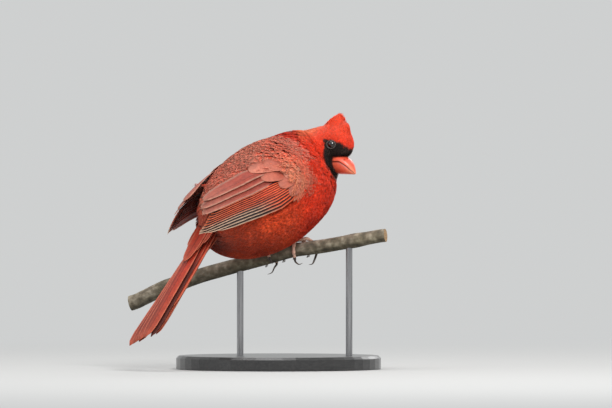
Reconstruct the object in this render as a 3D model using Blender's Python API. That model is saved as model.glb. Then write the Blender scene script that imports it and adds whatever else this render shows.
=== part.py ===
"""Male northern cardinal, life size, gripping a cut length of branch on a small display stand.

Metres, +Z up. The body heads along +X, its left side is +Y, and the base stands on z = 0.
Inside this file lengths are millimetres, measured from the perch's middle under the bird.
"""
import math

import bmesh
import bpy
import numpy as np

for old in list(bpy.data.objects):
    bpy.data.objects.remove(old, do_unlink=True)

# sizes in millimetres, angles in degrees
MM = 0.001
PART_GAP = 0.3

# directions in the photo: to the picture's right, and away from the viewer
RIGHT = np.array([0.766, -0.643, 0.0])
AWAY = np.array([0.643, 0.766, 0.0])

# body
BODY_CENTRE = np.array([-12.0, 0.0, 34.6])
BODY_PITCH = 28.0
BODY_FRONT = 46.0
BODY_BACK = 53.0
BODY_RADIUS = 32.6
TORSO_CORE = np.array([-15.0, 0.0, 34.0])
BREAST_CENTRE = np.array([9.7, -2.6, 39.4])
RUMP_CENTRE = np.array([-45.0, 0.0, 28.0])
NECK_CENTRE = np.array([11.4, -1.4, 52.0])
NECK_YAW = -40.0
BLEND = 8.0

# torso, neck and head share one surface and part at two cuts: a point and a direction each
NECK_CUT = np.array([11.0, -3.0, 49.0])
NECK_CUT_WAY = np.array([0.82, -0.15, 0.55])
HEAD_CUT = np.array([20.6, -10.2, 57.8])
HEAD_CUT_WAY = np.array([0.80, -0.36, 0.48])

# head, eyes and lids
HEAD_CENTRE = np.array([30.2, -13.8, 63.8])
HEAD_YAW = -75.0
EYE_RADIUS = 3.2
EYE_PLACE = (2.1, 7.0, 1.9)
EYE_AXIS = (0.36, 0.93, 0.06)
LID_HEIGHT = 2.6
LID_RING = 2.65
LID_THICK = 0.36

# bill: tables of a reach along it and a height or half width there
BILL_LENGTH = 10.9
BILL_BASE = (5.15, -10.7)
BILL_PITCH = -26.7
BILL_ROOT = -6.0
BILL_STATIONS = [BILL_ROOT, -3.0, 0.0, 3.0, 5.5, 8.0, 10.0, BILL_LENGTH - 0.15]
BILL_TOP = ([BILL_ROOT, -3.0, 0.0, 3.0, 6.0, 9.0, BILL_LENGTH], [4.6, 5.4, 5.8, 5.4, 4.2, 1.9, -0.2])
BILL_UNDER = ([BILL_ROOT, -3.0, 0.0, BILL_LENGTH], [-5.6, -6.1, -5.9, -0.7])
BILL_HALF_WIDTH = (
    [BILL_ROOT, -3.0, 0.0, 3.0, 6.0, 9.0, BILL_LENGTH],
    [5.86, 6.23, 5.86, 5.02, 3.72, 1.77, 0.28],
)
LOWER_BILL_WIDTH = 0.97
MOUTH_LINE = ([-5.5, -0.5, 2.4, 5.8, 8.0, BILL_LENGTH], [-0.4, 2.4, 2.2, 1.5, 0.7, -0.35])
BILL_ARCH = 9
NOSTRIL_PLACE = (1.6, 3.55, 4.75)
NOSTRIL_RADIUS = 0.55
BILL_LEAST_HEIGHT = 0.25
BILL_ROUNDNESS = 0.8

# crest feathers: angle over the crown at root and tip, angle aside, lift of the tip, width
CREST_HUB = (-1.0, 0.0, -1.0)
CREST = [
    (46.0, 84.0, 0.0, 2.7, 4.8), (51.0, 85.0, 10.0, 1.9, 4.2), (51.0, 85.0, -10.0, 1.9, 4.2),
    (64.0, 88.5, 5.0, 2.2, 3.8), (64.0, 88.5, -5.0, 2.2, 3.8),
    (90.0, 108.0, 9.0, 1.2, 4.2), (90.0, 109.0, -9.0, 1.2, 4.2), (94.0, 116.0, 0.0, 1.4, 4.4),
    (102.0, 126.0, 10.0, 1.1, 4.4), (102.0, 127.0, -10.0, 1.1, 4.4), (110.0, 136.0, 0.0, 1.1, 4.8),
]
# along a crest feather: part of its length, then its width and the share of its lift there
CREST_PARTS = [0.0, 0.35, 0.7, 0.9, 1.0]
CREST_WIDTHS = [0.8, 1.0, 0.8, 0.45, 0.12]
CREST_LIFTS = [0.0, 0.0, 0.4, 0.75, 1.0]
CREST_SUNK = -0.9
CREST_CLEAR = 0.3
CREST_THICK = 0.55
CREST_TIP_THICK = 0.4

# folded wings lie on a barrel round the body's own axis; tables of reach back and angle up
WING_LENGTH_AXIS = 87.0
WING_RADIUS = 33.2
SHOULDER_SINK = 2.4
SHOULDER_REACH = 5.0
SHOULDER_SPAN = 15.0
WING_BED = 4.9
WING_BED_MARGIN = 3.0
WING_BED_START = -11.0
WING_BED_RISE = 1.6
WING_LOW = (
    [-10.0, -6.0, 2.0, 8.0, 17.0, 32.0, 49.0, 61.0, 70.0],
    [26.0, 18.0, 6.0, 2.5, 1.0, 3.0, 8.0, 11.0, 14.5],
)
WING_TERTIAL = ([0.0, 17.0, 30.0, 43.0, 60.0], [24.0, 29.0, 32.0, 38.0, 47.0])
WING_TOP = (
    [-10.0, 0.0, 10.0, 17.0, 30.0, 43.0, 60.0, 70.0],
    [32.0, 44.0, 52.0, 58.0, 67.0, 73.0, 70.0, 66.0],
)
# where the greater coverts end: angle up the wing, then reach back
COVERT_TIPS = ([0.0, 7.0, 14.0, 20.0, 25.0, 33.0, 58.0], [6.5, 8.5, 10.0, 12.5, 15.5, 18.0, 18.0])
VANE_THICK = 0.5
# along a feather: part of its length, then its width there as a share of the full width
VANE_PARTS = [0.0, 0.3, 0.6, 0.84, 0.95, 1.0]
VANE_WIDTHS = [0.75, 1.0, 1.0, 0.9, 0.6, 0.18]
COVERT_PARTS = [0.0, 0.45, 0.8, 1.0]
COVERT_WIDTHS = [0.85, 1.0, 0.97, 0.45]
SHAFT_PLACE = 0.45
SHAFT_RISE = 0.12
# flight feathers from the lowest up: reach of each tip, then what all share
FLIGHT_TIPS = [64.0, 68.5, 71.0, 69.5, 67.5, 65.0, 62.0, 59.0, 56.0, 53.0]
FLIGHT_COUNT = len(FLIGHT_TIPS)
FLIGHT_ROOT = 6.0
FLIGHT_WIDTH = 4.6
FLIGHT_NARROWING = 0.04
FLIGHT_LEVEL = -0.5
FLIGHT_DIP = 0.86
# the reach at which a feather's place among the coverts is read
COVERT_READING = 10.0
# tertials: end, degrees above the secondaries' top edge, width
TERTIALS = [(60.0, 0.0, 8.5), (57.5, 8.5, 9.5), (52.5, 17.0, 11.0)]
TERTIAL_START = 9.0
TERTIAL_LEVEL = -0.3
TERTIAL_STEP = 0.3
TERTIAL_SUNK = 0.9
TERTIAL_LEAN = 0.2
# covert tiers: how many, length, reach short of the greater coverts' tips, levels at root and tip
COVERT_TIERS = [(6, 13.0, 0.0, (-1.5, 0.5)), (5, 10.5, 7.5, (-1.7, 1.1))]
COVERT_GAP = 0.35
ARM_SPAN = (-9.5, 15.0)
ARM_LEVEL = -2.9
ARM_ROWS = 9
ARM_COLUMNS = 8

# tail: a flat core in the rump carries the feathers; room is cut for them past TAIL_CLEAR
TAIL_ROOT = np.array([-51.0, 0.0, 27.0])
TAIL_SLOPE = 53.6
TAIL_CORE_SPAN = (-2.0, 26.0)
TAIL_CORE_DEPTH = -1.7
TAIL_CORE_RADIUS = 3.3
TAIL_CORE_WIDENING = 2.5
TAIL_CLEAR = 12.0
TAIL_UNDER = -6.1
TAIL_ROOM = (90.0, 17.0, 40.0)
TAIL_HOLE_REACH = 40.0
TAIL_SWEEP = 1.4
TAIL_PARTS = [0.0, 0.25, 0.5, 0.75, 0.93, 1.0]
TAIL_WIDTHS = [0.55, 0.8, 1.0, 1.0, 0.72, 0.16]
TAIL_CROWN = 0.25
# tail feathers: sideways at root and tip, depth below the top, length, half width
TAIL_FEATHERS = [
    (-0.2, 0.2, 0.0, 95.5, 5.0), (0.8, 5.2, -0.85, 97.0, 5.0), (1.8, 9.6, -1.7, 98.8, 5.0),
    (2.8, 13.4, -2.55, 99.8, 5.0), (3.4, 11.6, -3.4, 97.0, 5.0),
    (-4.4, -3.8, -1.3, 94.0, 3.1), (-5.4, -4.8, -2.15, 72.0, 3.6), (-4.0, -3.4, -3.0, 91.0, 3.1),
]
TAIL_COVERTS = [
    (-3.0, -5.0, 0.9, 27.0, 4.6), (4.0, 6.0, 0.9, 29.0, 4.6), (0.3, 0.8, 1.8, 40.5, 5.4),
    (-2.6, -3.4, -4.0, 30.0, 4.6), (3.4, 4.4, -4.0, 29.0, 4.6), (0.2, 0.4, -4.85, 38.0, 5.4),
]

# legs and feet: each leg's reach along the perch and angle round it
LEG_PLACES = {"right": (9.0, 0.0), "left": (-6.0, 14.0)}
LEG_LENGTH = 7.5
LEG_RADIUS = 1.25
LEG_WAY = np.array([-0.55, 0.0, 1.0])
# room round a leg in its hole, and how far ankle and toes stand off the bark
LEG_HOLE_ROOM = 0.5
ANKLE_RISE = 0.2
TOE_RISE = 0.15
FOOT_ROOM = 7.6
TOE_RADIUS = 1.1
TOE_SWELLING = 0.12
# toes: name, then reach along the perch and angle round it for each joint
TOES = {
    "right": {
        "hind": [(0.0, -14.0), (-0.6, -62.0), (-1.2, -104.0), (-1.6, -138.0)],
        "inner": [(0.6, 4.0), (-2.4, 46.0), (-3.6, 88.0), (-4.0, 122.0)],
        "middle": [(0.8, 4.0), (3.4, 40.0), (4.4, 82.0), (4.8, 128.0)],
        "outer": [(1.2, 0.0), (6.0, 12.0), (8.6, 62.0), (9.4, 122.0)],
    },
    "left": {
        "hind": [(0.0, 0.0), (-0.4, -34.0), (-0.8, -66.0), (-1.0, -96.0)],
        "inner": [(0.6, 18.0), (3.0, 60.0), (4.0, 100.0), (4.4, 132.0)],
        "middle": [(0.0, 18.0), (0.4, 64.0), (0.2, 104.0), (0.0, 146.0)],
        "outer": [(-0.8, 16.0), (-4.2, 54.0), (-5.6, 96.0), (-6.0, 128.0)],
    },
}
CLAW_RADIUS = 0.78
CLAW_LIFT = PART_GAP + 0.75
CLAW_TURNS = (26.0, 44.0, 60.0)
# claws seen below the perch in the photo: reach, height and forward shift of each point
HANGING_CLAWS = {
    ("right", "hind"): [(8.1, -5.2, -2.2), (10.0, -6.8, -1.5), (12.1, -6.2, -1.0)],
    ("right", "outer"): [(18.1, -4.6, 3.0), (17.2, -6.6, 2.0), (15.3, -7.1, 1.0)],
    ("left", "middle"): [(-5.9, -8.9, 2.6), (-7.3, -11.9, 2.0), (-9.9, -13.0, 1.6)],
}

# the perch follows the branch in the photo: reach to the picture's right, then height
PERCH_HEIGHT = 70.0
PERCH_OFFSET = (6.0, 3.0)
PERCH_RADIUS = 4.4
PERCH_TAPER = 0.006
PERCH_NEARING = -0.27
PERCH_LINE = [
    (-93.0, -31.5), (-75.8, -23.0), (-48.5, -13.2), (-24.8, -6.8), (4.8, 1.5), (26.1, 4.4), (62.0, 11.0),
]
PERCH_ROUNDING = (-4.0, 0.0, 4.0)
# knots in the bark: reach, half length, height
KNOTS = [(-70.0, 7.0, 0.5), (44.0, 5.0, 0.35)]

# display stand
RODS = {"stand_rod_1": -26.0, "stand_rod_2": 40.0}
ROD_RADIUS = 2.0
BASE_RADIUS = 62.0
BASE_HEIGHT = 8.0
BASE_BEVEL = 1.5
SOCKET_DEPTH = 2.5
BASE_DRILL_RISE = 5.0
PERCH_DRILL_REACH = 9.0


def unit(v):
    return v / np.linalg.norm(v)


def turned(yaw, pitch):
    """Rows forward, left and up of a frame with this heading and rise."""
    y = math.radians(yaw)
    p = math.radians(pitch)
    forward = np.array([math.cos(p) * math.cos(y), math.cos(p) * math.sin(y), math.sin(p)])
    left = np.array([-math.sin(y), math.cos(y), 0.0])
    return np.stack([forward, left, np.cross(forward, left)])


BODY_AXES = turned(0.0, BODY_PITCH)
HEAD_AXES = turned(HEAD_YAW, 0.0)
BILL_AXES = turned(HEAD_YAW, BILL_PITCH)
BACKWARD = -BODY_AXES[0]
DORSAL = BODY_AXES[2]
TAIL_FALL = math.radians(TAIL_SLOPE)
TAIL_AXES = np.array([
    [-math.cos(TAIL_FALL), 0.0, -math.sin(TAIL_FALL)],
    [0.0, 1.0, 0.0],
    [-math.sin(TAIL_FALL), 0.0, math.cos(TAIL_FALL)],
])


def in_head(x, y, z):
    return HEAD_CENTRE + np.array([x, y, z]) @ HEAD_AXES


# round masses of the bird: centre, frame, reach front, back, side, up, blend
MASSES = [
    (BODY_CENTRE, BODY_AXES, (BODY_FRONT, BODY_BACK, BODY_RADIUS, BODY_RADIUS), 0.0),
    (BREAST_CENTRE, turned(0.0, 40.0), (23.0, 22.0, 22.0, 20.0), BLEND),
    (RUMP_CENTRE, turned(0.0, 50.0), (17.0, 18.0, 15.0, 13.0), BLEND),
    (NECK_CENTRE, turned(NECK_YAW, 0.0), (17.5, 23.0, 18.0, 22.4), 6.0),
    (in_head(-8.0, 0.0, 3.8), HEAD_AXES, (9.0, 10.0, 9.0, 9.2), 6.0),
    (in_head(-2.3, 0.0, 2.0), HEAD_AXES, (11.4, 11.5, 10.4, 10.4), 5.0),
    (in_head(4.0, 0.0, 2.2), HEAD_AXES, (7.8, 8.0, 7.2, 9.2), 3.5),
    (in_head(-3.0, 0.0, -9.8), turned(HEAD_YAW, 15.0), (6.8, 7.0, 5.8, 8.8), 3.0),
    (in_head(1.0, 0.0, 11.5), turned(HEAD_YAW, 12.0), (6.0, 7.5, 4.2, 7.5), 4.0),
]


def body_field(points):
    """Signed distance to the smoothly joined masses, negative inside."""
    total = None
    for centre, axes, reach, blend in MASSES:
        local = (points - centre) @ axes.T
        front, back, side, up = reach
        ahead = np.where(local[:, 0] > 0.0, front, back)
        size = np.stack([ahead, np.full(len(local), side), np.full(len(local), up)], axis=1)
        near = np.linalg.norm(local / size, axis=1)
        slope = np.linalg.norm(local / size ** 2, axis=1) + 1e-9
        away = near * (near - 1.0) / slope
        if total is None:
            total = away
        else:
            share = np.clip(0.5 + 0.5 * (total - away) / blend, 0.0, 1.0)
            total = total * (1.0 - share) + away * share - blend * share * (1.0 - share)
    return total


def perch_centre(r):
    rs = [p[0] for p in PERCH_LINE]
    us = [p[1] for p in PERCH_LINE]
    height = sum(float(np.interp(r + w, rs, us)) for w in PERCH_ROUNDING) / len(PERCH_ROUNDING)
    return r * RIGHT + PERCH_NEARING * r * AWAY + np.array([0.0, 0.0, height])


def perch_frame(r):
    """Centre, along, up and forward of the perch at reach r."""
    along = perch_centre(r + 2.0) - perch_centre(r - 2.0)
    along /= np.linalg.norm(along)
    forward = np.cross([0.0, 0.0, 1.0], along)
    forward /= np.linalg.norm(forward)
    return perch_centre(r), along, np.cross(along, forward), forward


def perch_thickness(r):
    knots = sum(height * math.exp(-((r - place) / half) ** 2) for place, half, height in KNOTS)
    return PERCH_RADIUS - PERCH_TAPER * r * (1.0 if r > 0.0 else 0.5) + knots


def round_perch(r, angle, out):
    """A point this far outside the perch's bark, angle 0 on top and growing forward."""
    centre, _, up, forward = perch_frame(r)
    t = math.radians(angle)
    reach = perch_thickness(r) + out
    return centre + reach * (math.cos(t) * up + math.sin(t) * forward)


def beside_perch(r, height, forward_shift):
    centre, _, _, forward = perch_frame(r)
    spot = centre + forward_shift * forward
    return np.array([spot[0], spot[1], height])


def barrel(a):
    """The radius that the wings lie on, this far back along the body's axis."""
    sink = SHOULDER_SINK * np.clip((SHOULDER_REACH - a) / SHOULDER_SPAN, 0.0, 1.0) ** 2
    return WING_RADIUS * np.sqrt(np.clip(1.0 - (a / WING_LENGTH_AXIS) ** 2, 0.05, 1.0)) - sink


def wing_point(side, a, theta, out):
    t = np.radians(theta)
    reach = barrel(a) + out
    lateral = side * reach * np.cos(t)
    rise = reach * np.sin(t)
    return BODY_CENTRE + a * BACKWARD + lateral * np.array([0.0, 1.0, 0.0]) + rise * DORSAL


def trunk_field(points):
    """The body with a shallow bed for each wing and room for the perch and feet."""
    away = body_field(points)
    local = points - BODY_CENTRE
    a = local @ BACKWARD
    rise = local @ DORSAL
    reach = np.hypot(local[:, 1], rise)
    theta = np.degrees(np.arctan2(rise, np.abs(local[:, 1])))
    bow = barrel(a)
    per_degree = math.pi / 180.0 * bow
    below = (np.interp(a, *WING_LOW) - WING_BED_MARGIN - theta) * per_degree
    above = (theta - np.interp(a, *WING_TOP) - WING_BED_MARGIN) * per_degree
    outside = np.maximum(np.maximum(below, above), np.maximum(WING_BED_START - a, 0.0))
    bed = bow - WING_BED + WING_BED_RISE * outside
    away = np.maximum(away, reach - bed)
    flat = points @ np.stack([RIGHT, AWAY], axis=1)
    along = np.linspace(-60.0, 60.0, 61)
    line = np.array([perch_centre(r) for r in along])
    near = np.min(np.linalg.norm(points[:, None, :] - line[None, :, :], axis=2), axis=1)
    room = FOOT_ROOM - 1.8 * np.clip((np.abs(flat[:, 0] - 2.0) - 16.0) / 10.0, 0.0, 1.0)
    return np.maximum(away, room - near)


def cast(field, centre, directions, far):
    """Distance from the centre to the surface along each direction."""
    low = np.zeros(len(directions))
    high = np.full(len(directions), far)
    for _ in range(22):
        middle = 0.5 * (low + high)
        inside = field(centre + middle[:, None] * directions) < 0.0
        low = np.where(inside, middle, low)
        high = np.where(inside, high, middle)
    return 0.5 * (low + high)


def ball_rings(axes, around, along, bunch=0.0):
    """Unit directions in rings about the frame's forward axis, poles first and last."""
    directions = [axes[0]]
    for i in range(1, along):
        part = i / along
        t = math.pi * (part + bunch * math.sin(2.0 * math.pi * part) / (2.0 * math.pi))
        for j in range(around):
            f = 2.0 * math.pi * (j + 0.5 * (i % 2)) / around
            directions.append(
                math.cos(t) * axes[0] + math.sin(t) * (math.cos(f) * axes[1] + math.sin(f) * axes[2])
            )
    directions.append(-axes[0])
    faces = []
    for j in range(around):
        k = (j + 1) % around
        faces.append((0, 1 + j, 1 + k))
        last = 1 + (along - 2) * around
        faces.append((last + k, last + j, last + around))
    for i in range(along - 2):
        top = 1 + i * around
        low = top + around
        for j in range(around):
            k = (j + 1) % around
            if i % 2 == 0:
                faces.append((top + j, low + j, low + k))
                faces.append((top + j, low + k, top + k))
            else:
                faces.append((top + j, low + j, top + k))
                faces.append((top + k, low + j, low + k))
    return np.array(directions), faces


MATERIALS = {}


def material(name, colour, roughness, metallic=0.0):
    made = bpy.data.materials.new(name)
    made.use_nodes = True
    shader = made.node_tree.nodes["Principled BSDF"]
    shader.inputs["Base Color"].default_value = (*colour, 1.0)
    shader.inputs["Roughness"].default_value = roughness
    shader.inputs["Metallic"].default_value = metallic
    made.diffuse_color = (*colour, 1.0)
    MATERIALS[name] = made
    return made


def place(points):
    """Millimetres from the perch's middle to metres in the world."""
    shift = np.array([PERCH_OFFSET[0], PERCH_OFFSET[1], PERCH_HEIGHT])
    return (np.asarray(points, dtype=float) + shift) * MM


def add_object(name, points, faces, smooth=True):
    mesh = bpy.data.meshes.new(name)
    mesh.from_pydata([tuple(p) for p in place(points)], [], [tuple(f) for f in faces])
    shape = bmesh.new()
    shape.from_mesh(mesh)
    bmesh.ops.remove_doubles(shape, verts=shape.verts, dist=0.00001)
    bmesh.ops.recalc_face_normals(shape, faces=shape.faces)
    bmesh.ops.triangulate(shape, faces=[f for f in shape.faces if len(f.verts) > 4])
    if shape.calc_volume(signed=True) < 0.0:
        bmesh.ops.reverse_faces(shape, faces=shape.faces)
    for face in shape.faces:
        face.smooth = smooth
    shape.to_mesh(mesh)
    shape.free()
    made = bpy.data.objects.new(name, mesh)
    bpy.context.scene.collection.objects.link(made)
    return made


def dress(made, colour_name):
    made.data.materials.clear()
    made.data.materials.append(MATERIALS[colour_name])
    return made


def keep_largest(made):
    """Only the largest closed surface stays, every face a triangle."""
    shape = bmesh.new()
    shape.from_mesh(made.data)
    bmesh.ops.triangulate(shape, faces=shape.faces)
    left = set(shape.faces)
    groups = []
    while left:
        start = left.pop()
        group = [start]
        stack = [start]
        while stack:
            face = stack.pop()
            for edge in face.edges:
                for other in edge.link_faces:
                    if other in left:
                        left.remove(other)
                        stack.append(other)
                        group.append(other)
        groups.append(group)
    groups.sort(key=len)
    for group in groups[:-1]:
        bmesh.ops.delete(shape, geom=group, context="FACES")
    loose = [v for v in shape.verts if not v.link_faces]
    bmesh.ops.delete(shape, geom=loose, context="VERTS")
    shape.to_mesh(made.data)
    shape.free()


def apply_boolean(made, operation, others):
    """One Boolean on a collection that holds the other pieces, which are then removed."""
    group = bpy.data.collections.new(made.name + "_pieces")
    bpy.context.scene.collection.children.link(group)
    for other in others:
        bpy.context.scene.collection.objects.unlink(other)
        group.objects.link(other)
    step = made.modifiers.new("join", "BOOLEAN")
    step.operation = operation
    step.solver = "EXACT"
    step.operand_type = "COLLECTION"
    step.collection = group
    graph = bpy.context.evaluated_depsgraph_get()
    result = bpy.data.meshes.new_from_object(made.evaluated_get(graph))
    made.modifiers.clear()
    before = made.data
    made.data = result
    result.name = before.name
    bpy.data.meshes.remove(before)
    for other in others:
        bpy.data.objects.remove(other, do_unlink=True)
    bpy.data.collections.remove(group)
    keep_largest(made)


def slice_off(made, spot, normal):
    """Removes what lies ahead of a plane and closes the cut flat."""
    shape = bmesh.new()
    shape.from_mesh(made.data)
    geom = list(shape.verts) + list(shape.edges) + list(shape.faces)
    cut = bmesh.ops.bisect_plane(
        shape, geom=geom, plane_co=place(spot), plane_no=normal, clear_outer=True, dist=0.000001
    )
    rim = [e for e in cut["geom_cut"] if isinstance(e, bmesh.types.BMEdge)]
    filled = bmesh.ops.contextual_create(shape, geom=rim)
    bmesh.ops.triangulate(shape, faces=filled["faces"])
    bmesh.ops.recalc_face_normals(shape, faces=shape.faces)
    shape.to_mesh(made.data)
    shape.free()
    keep_largest(made)


def tube(path, radii, sides, squash=1.0, tip=False, up=None):
    """A swept round tube; the first ring is flat-ended, the last is flat or a point."""
    path = [np.asarray(p, dtype=float) for p in path]
    points = []
    faces = []
    last_up = up
    count = len(path)
    for i, spot in enumerate(path):
        ahead = path[min(i + 1, count - 1)] - path[max(i - 1, 0)]
        ahead = ahead / np.linalg.norm(ahead)
        if last_up is None:
            guess = np.array([0.0, 0.0, 1.0]) if abs(ahead[2]) < 0.8 else np.array([0.6, -0.8, 0.0])
            last_up = guess
        side = np.cross(ahead, last_up)
        side = side / np.linalg.norm(side)
        up = np.cross(side, ahead)
        last_up = up
        if tip and i == count - 1:
            points.append(spot)
            continue
        for j in range(sides):
            t = 2.0 * math.pi * j / sides
            points.append(spot + radii[i] * (math.cos(t) * side * squash + math.sin(t) * up))
    rings = count - 1 if tip else count
    for i in range(rings - 1):
        for j in range(sides):
            k = (j + 1) % sides
            a = i * sides
            b = a + sides
            faces.append((a + j, a + k, b + k))
            faces.append((a + j, b + k, b + j))
    faces.append(tuple(range(sides)))
    last = (rings - 1) * sides
    if tip:
        for j in range(sides):
            faces.append((last + j, last + (j + 1) % sides, rings * sides))
    else:
        faces.append(tuple(last + j for j in reversed(range(sides))))
    return points, faces


def thin_solid(top, bottom):
    """A closed sheet from two grids of points, both faces split along the same diagonals."""
    rows, columns = top.shape[:2]
    points = np.concatenate([top.reshape(-1, 3), bottom.reshape(-1, 3)])
    half = rows * columns
    faces = []
    for i in range(rows - 1):
        for j in range(columns - 1):
            a = i * columns + j
            b = a + 1
            c = a + columns
            d = c + 1
            faces.append((a, c, d))
            faces.append((a, d, b))
            faces.append((half + a, half + d, half + c))
            faces.append((half + a, half + b, half + d))
    for i in range(rows - 1):
        for edge in (0, columns - 1):
            a = i * columns + edge
            c = a + columns
            faces.append((a, half + a, half + c))
            faces.append((a, half + c, c))
    for row in (0, rows - 1):
        for j in range(columns - 1):
            a = row * columns + j
            faces.append((a, a + 1, half + a + 1))
            faces.append((a, half + a + 1, half + a))
    return points, faces


def smooth_path(points, steps):
    """Catmull-Rom points through the given ones."""
    points = [np.asarray(p, dtype=float) for p in points]
    padded = [2 * points[0] - points[1]] + points + [2 * points[-1] - points[-2]]
    result = []
    for i in range(1, len(padded) - 2):
        p0, p1, p2, p3 = padded[i - 1:i + 3]
        for k in range(steps):
            t = k / steps
            result.append(0.5 * (
                2 * p1 + (p2 - p0) * t + (2 * p0 - 5 * p1 + 4 * p2 - p3) * t ** 2
                + (3 * p1 - 3 * p2 + p3 - p0) * t ** 3
            ))
    result.append(points[-1])
    return result


# colours
material("plumage_red", (0.42, 0.045, 0.022), 0.75)
material("head_red", (0.72, 0.075, 0.02), 0.7)
material("wing_rose", (0.40, 0.11, 0.075), 0.7)
material("tail_red", (0.36, 0.075, 0.045), 0.65)
material("bill_coral", (0.80, 0.20, 0.13), 0.4)
material("eye_dark", (0.015, 0.010, 0.008), 0.08)
material("leg_tan", (0.36, 0.22, 0.15), 0.6)
material("claw_brown", (0.05, 0.035, 0.028), 0.4)
material("bark_grey", (0.17, 0.14, 0.11), 0.85)
material("stand_black", (0.02, 0.02, 0.022), 0.45)
material("rod_steel", (0.30, 0.30, 0.31), 0.35, 0.9)

def leg_axis(side):
    """Where the leg meets the toes and where it enters the belly."""
    r, lean = LEG_PLACES[side]
    foot = round_perch(r, lean, PART_GAP + TOE_RADIUS + ANKLE_RISE)
    return foot, foot + LEG_LENGTH * unit(LEG_WAY)


def ball(centre, radius, around, along, axes=None):
    directions, faces = ball_rings(BODY_AXES if axes is None else axes, around, along)
    return np.asarray(centre) + radius * directions, faces


def build_torso():
    directions, faces = ball_rings(BODY_AXES, 40, 26, bunch=-0.15)
    reach = cast(trunk_field, TORSO_CORE, directions, 110.0)
    made = add_object("torso", TORSO_CORE + reach[:, None] * directions, faces)
    neck_way = unit(NECK_CUT_WAY)
    slice_off(made, NECK_CUT - 0.5 * PART_GAP * neck_way, neck_way)
    cutters = []
    for side in ("right", "left"):
        foot, knee = leg_axis(side)
        line = unit(knee - foot)
        drill = [foot - 2.0 * line, knee + PART_GAP * line]
        points, tube_faces = tube(drill, [LEG_RADIUS + LEG_HOLE_ROOM] * 2, 12)
        cutters.append(add_object("cut_leg_" + side, points, tube_faces))
    reaches = (TAIL_CORE_SPAN[0] - PART_GAP, TAIL_HOLE_REACH)
    line = [tail_point(s, 0.0, TAIL_CORE_DEPTH) for s in reaches]
    points, tube_faces = tube(
        line, [TAIL_CORE_RADIUS + PART_GAP] * 2, 14, squash=TAIL_CORE_WIDENING, up=TAIL_AXES[2]
    )
    cutters.append(add_object("cut_tail_root", points, tube_faces))
    far, wide, high = TAIL_ROOM
    corners = []
    for s in (TAIL_CLEAR, far):
        for y in (-wide, wide):
            corners += [tail_point(s, y, TAIL_UNDER), tail_point(s, y, high)]
    box_faces = [(0, 1, 3, 2), (4, 6, 7, 5), (0, 4, 5, 1), (2, 3, 7, 6), (0, 2, 6, 4), (1, 5, 7, 3)]
    cutters.append(add_object("cut_tail_room", corners, box_faces))
    apply_boolean(made, "DIFFERENCE", cutters)
    return dress(made, "plumage_red")


def build_neck():
    centre = 0.5 * (NECK_CUT + HEAD_CUT)
    directions, faces = ball_rings(turned(-16.0, 34.0), 36, 20)
    reach = cast(body_field, centre, directions, 70.0)
    made = add_object("neck", centre + reach[:, None] * directions, faces)
    neck_way = unit(NECK_CUT_WAY)
    head_way = unit(HEAD_CUT_WAY)
    slice_off(made, NECK_CUT + 0.5 * PART_GAP * neck_way, -neck_way)
    slice_off(made, HEAD_CUT - 0.5 * PART_GAP * head_way, head_way)
    return dress(made, "plumage_red")


def in_bill(s, y, z):
    base = in_head(BILL_BASE[0], 0.0, BILL_BASE[1])
    return base + np.array([s, y, z]) @ BILL_AXES


def bill_rings(kind, grow=0.0):
    """Rings of the upper or lower bill, each closed along the mouth line, or of the pocket for both."""
    points = []
    for s in BILL_STATIONS:
        wide = float(np.interp(s, *BILL_HALF_WIDTH)) + grow
        mouth = float(np.interp(s, *MOUTH_LINE))
        crown = float(np.interp(s, *BILL_TOP)) + grow
        under = float(np.interp(s, *BILL_UNDER)) - grow
        slit = 0.0 if kind == "pocket" else 0.5 * PART_GAP
        top = max(crown, mouth + slit + BILL_LEAST_HEIGHT)
        low = min(under, mouth - slit - BILL_LEAST_HEIGHT)
        ends = []
        if kind in ("upper", "pocket"):
            ends.append((mouth + slit, top, wide, range(BILL_ARCH)))
        if kind == "lower":
            ends.append((mouth - slit, low, LOWER_BILL_WIDTH * wide, range(BILL_ARCH)))
        if kind == "pocket":
            ends.append((mouth, low, -wide, range(1, BILL_ARCH - 1)))
        for edge, peak, width, steps in ends:
            for j in steps:
                t = math.pi * j / (BILL_ARCH - 1)
                height = edge + (peak - edge) * math.sin(t) ** BILL_ROUNDNESS
                points.append(in_bill(s, width * math.cos(t), height))
    rings = len(BILL_STATIONS)
    count = len(points) // rings
    if kind == "pocket":
        points = [p - grow * BILL_AXES[0] for p in points[:count]] + points[count:]
    faces = []
    for i in range(rings - 1):
        for j in range(count):
            k = (j + 1) % count
            a = i * count
            b = a + count
            faces.append((a + j, a + k, b + k))
            faces.append((a + j, b + k, b + j))
    faces.append(tuple(range(count)))
    faces.append(tuple(reversed(range((rings - 1) * count, rings * count))))
    return points, faces


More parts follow.
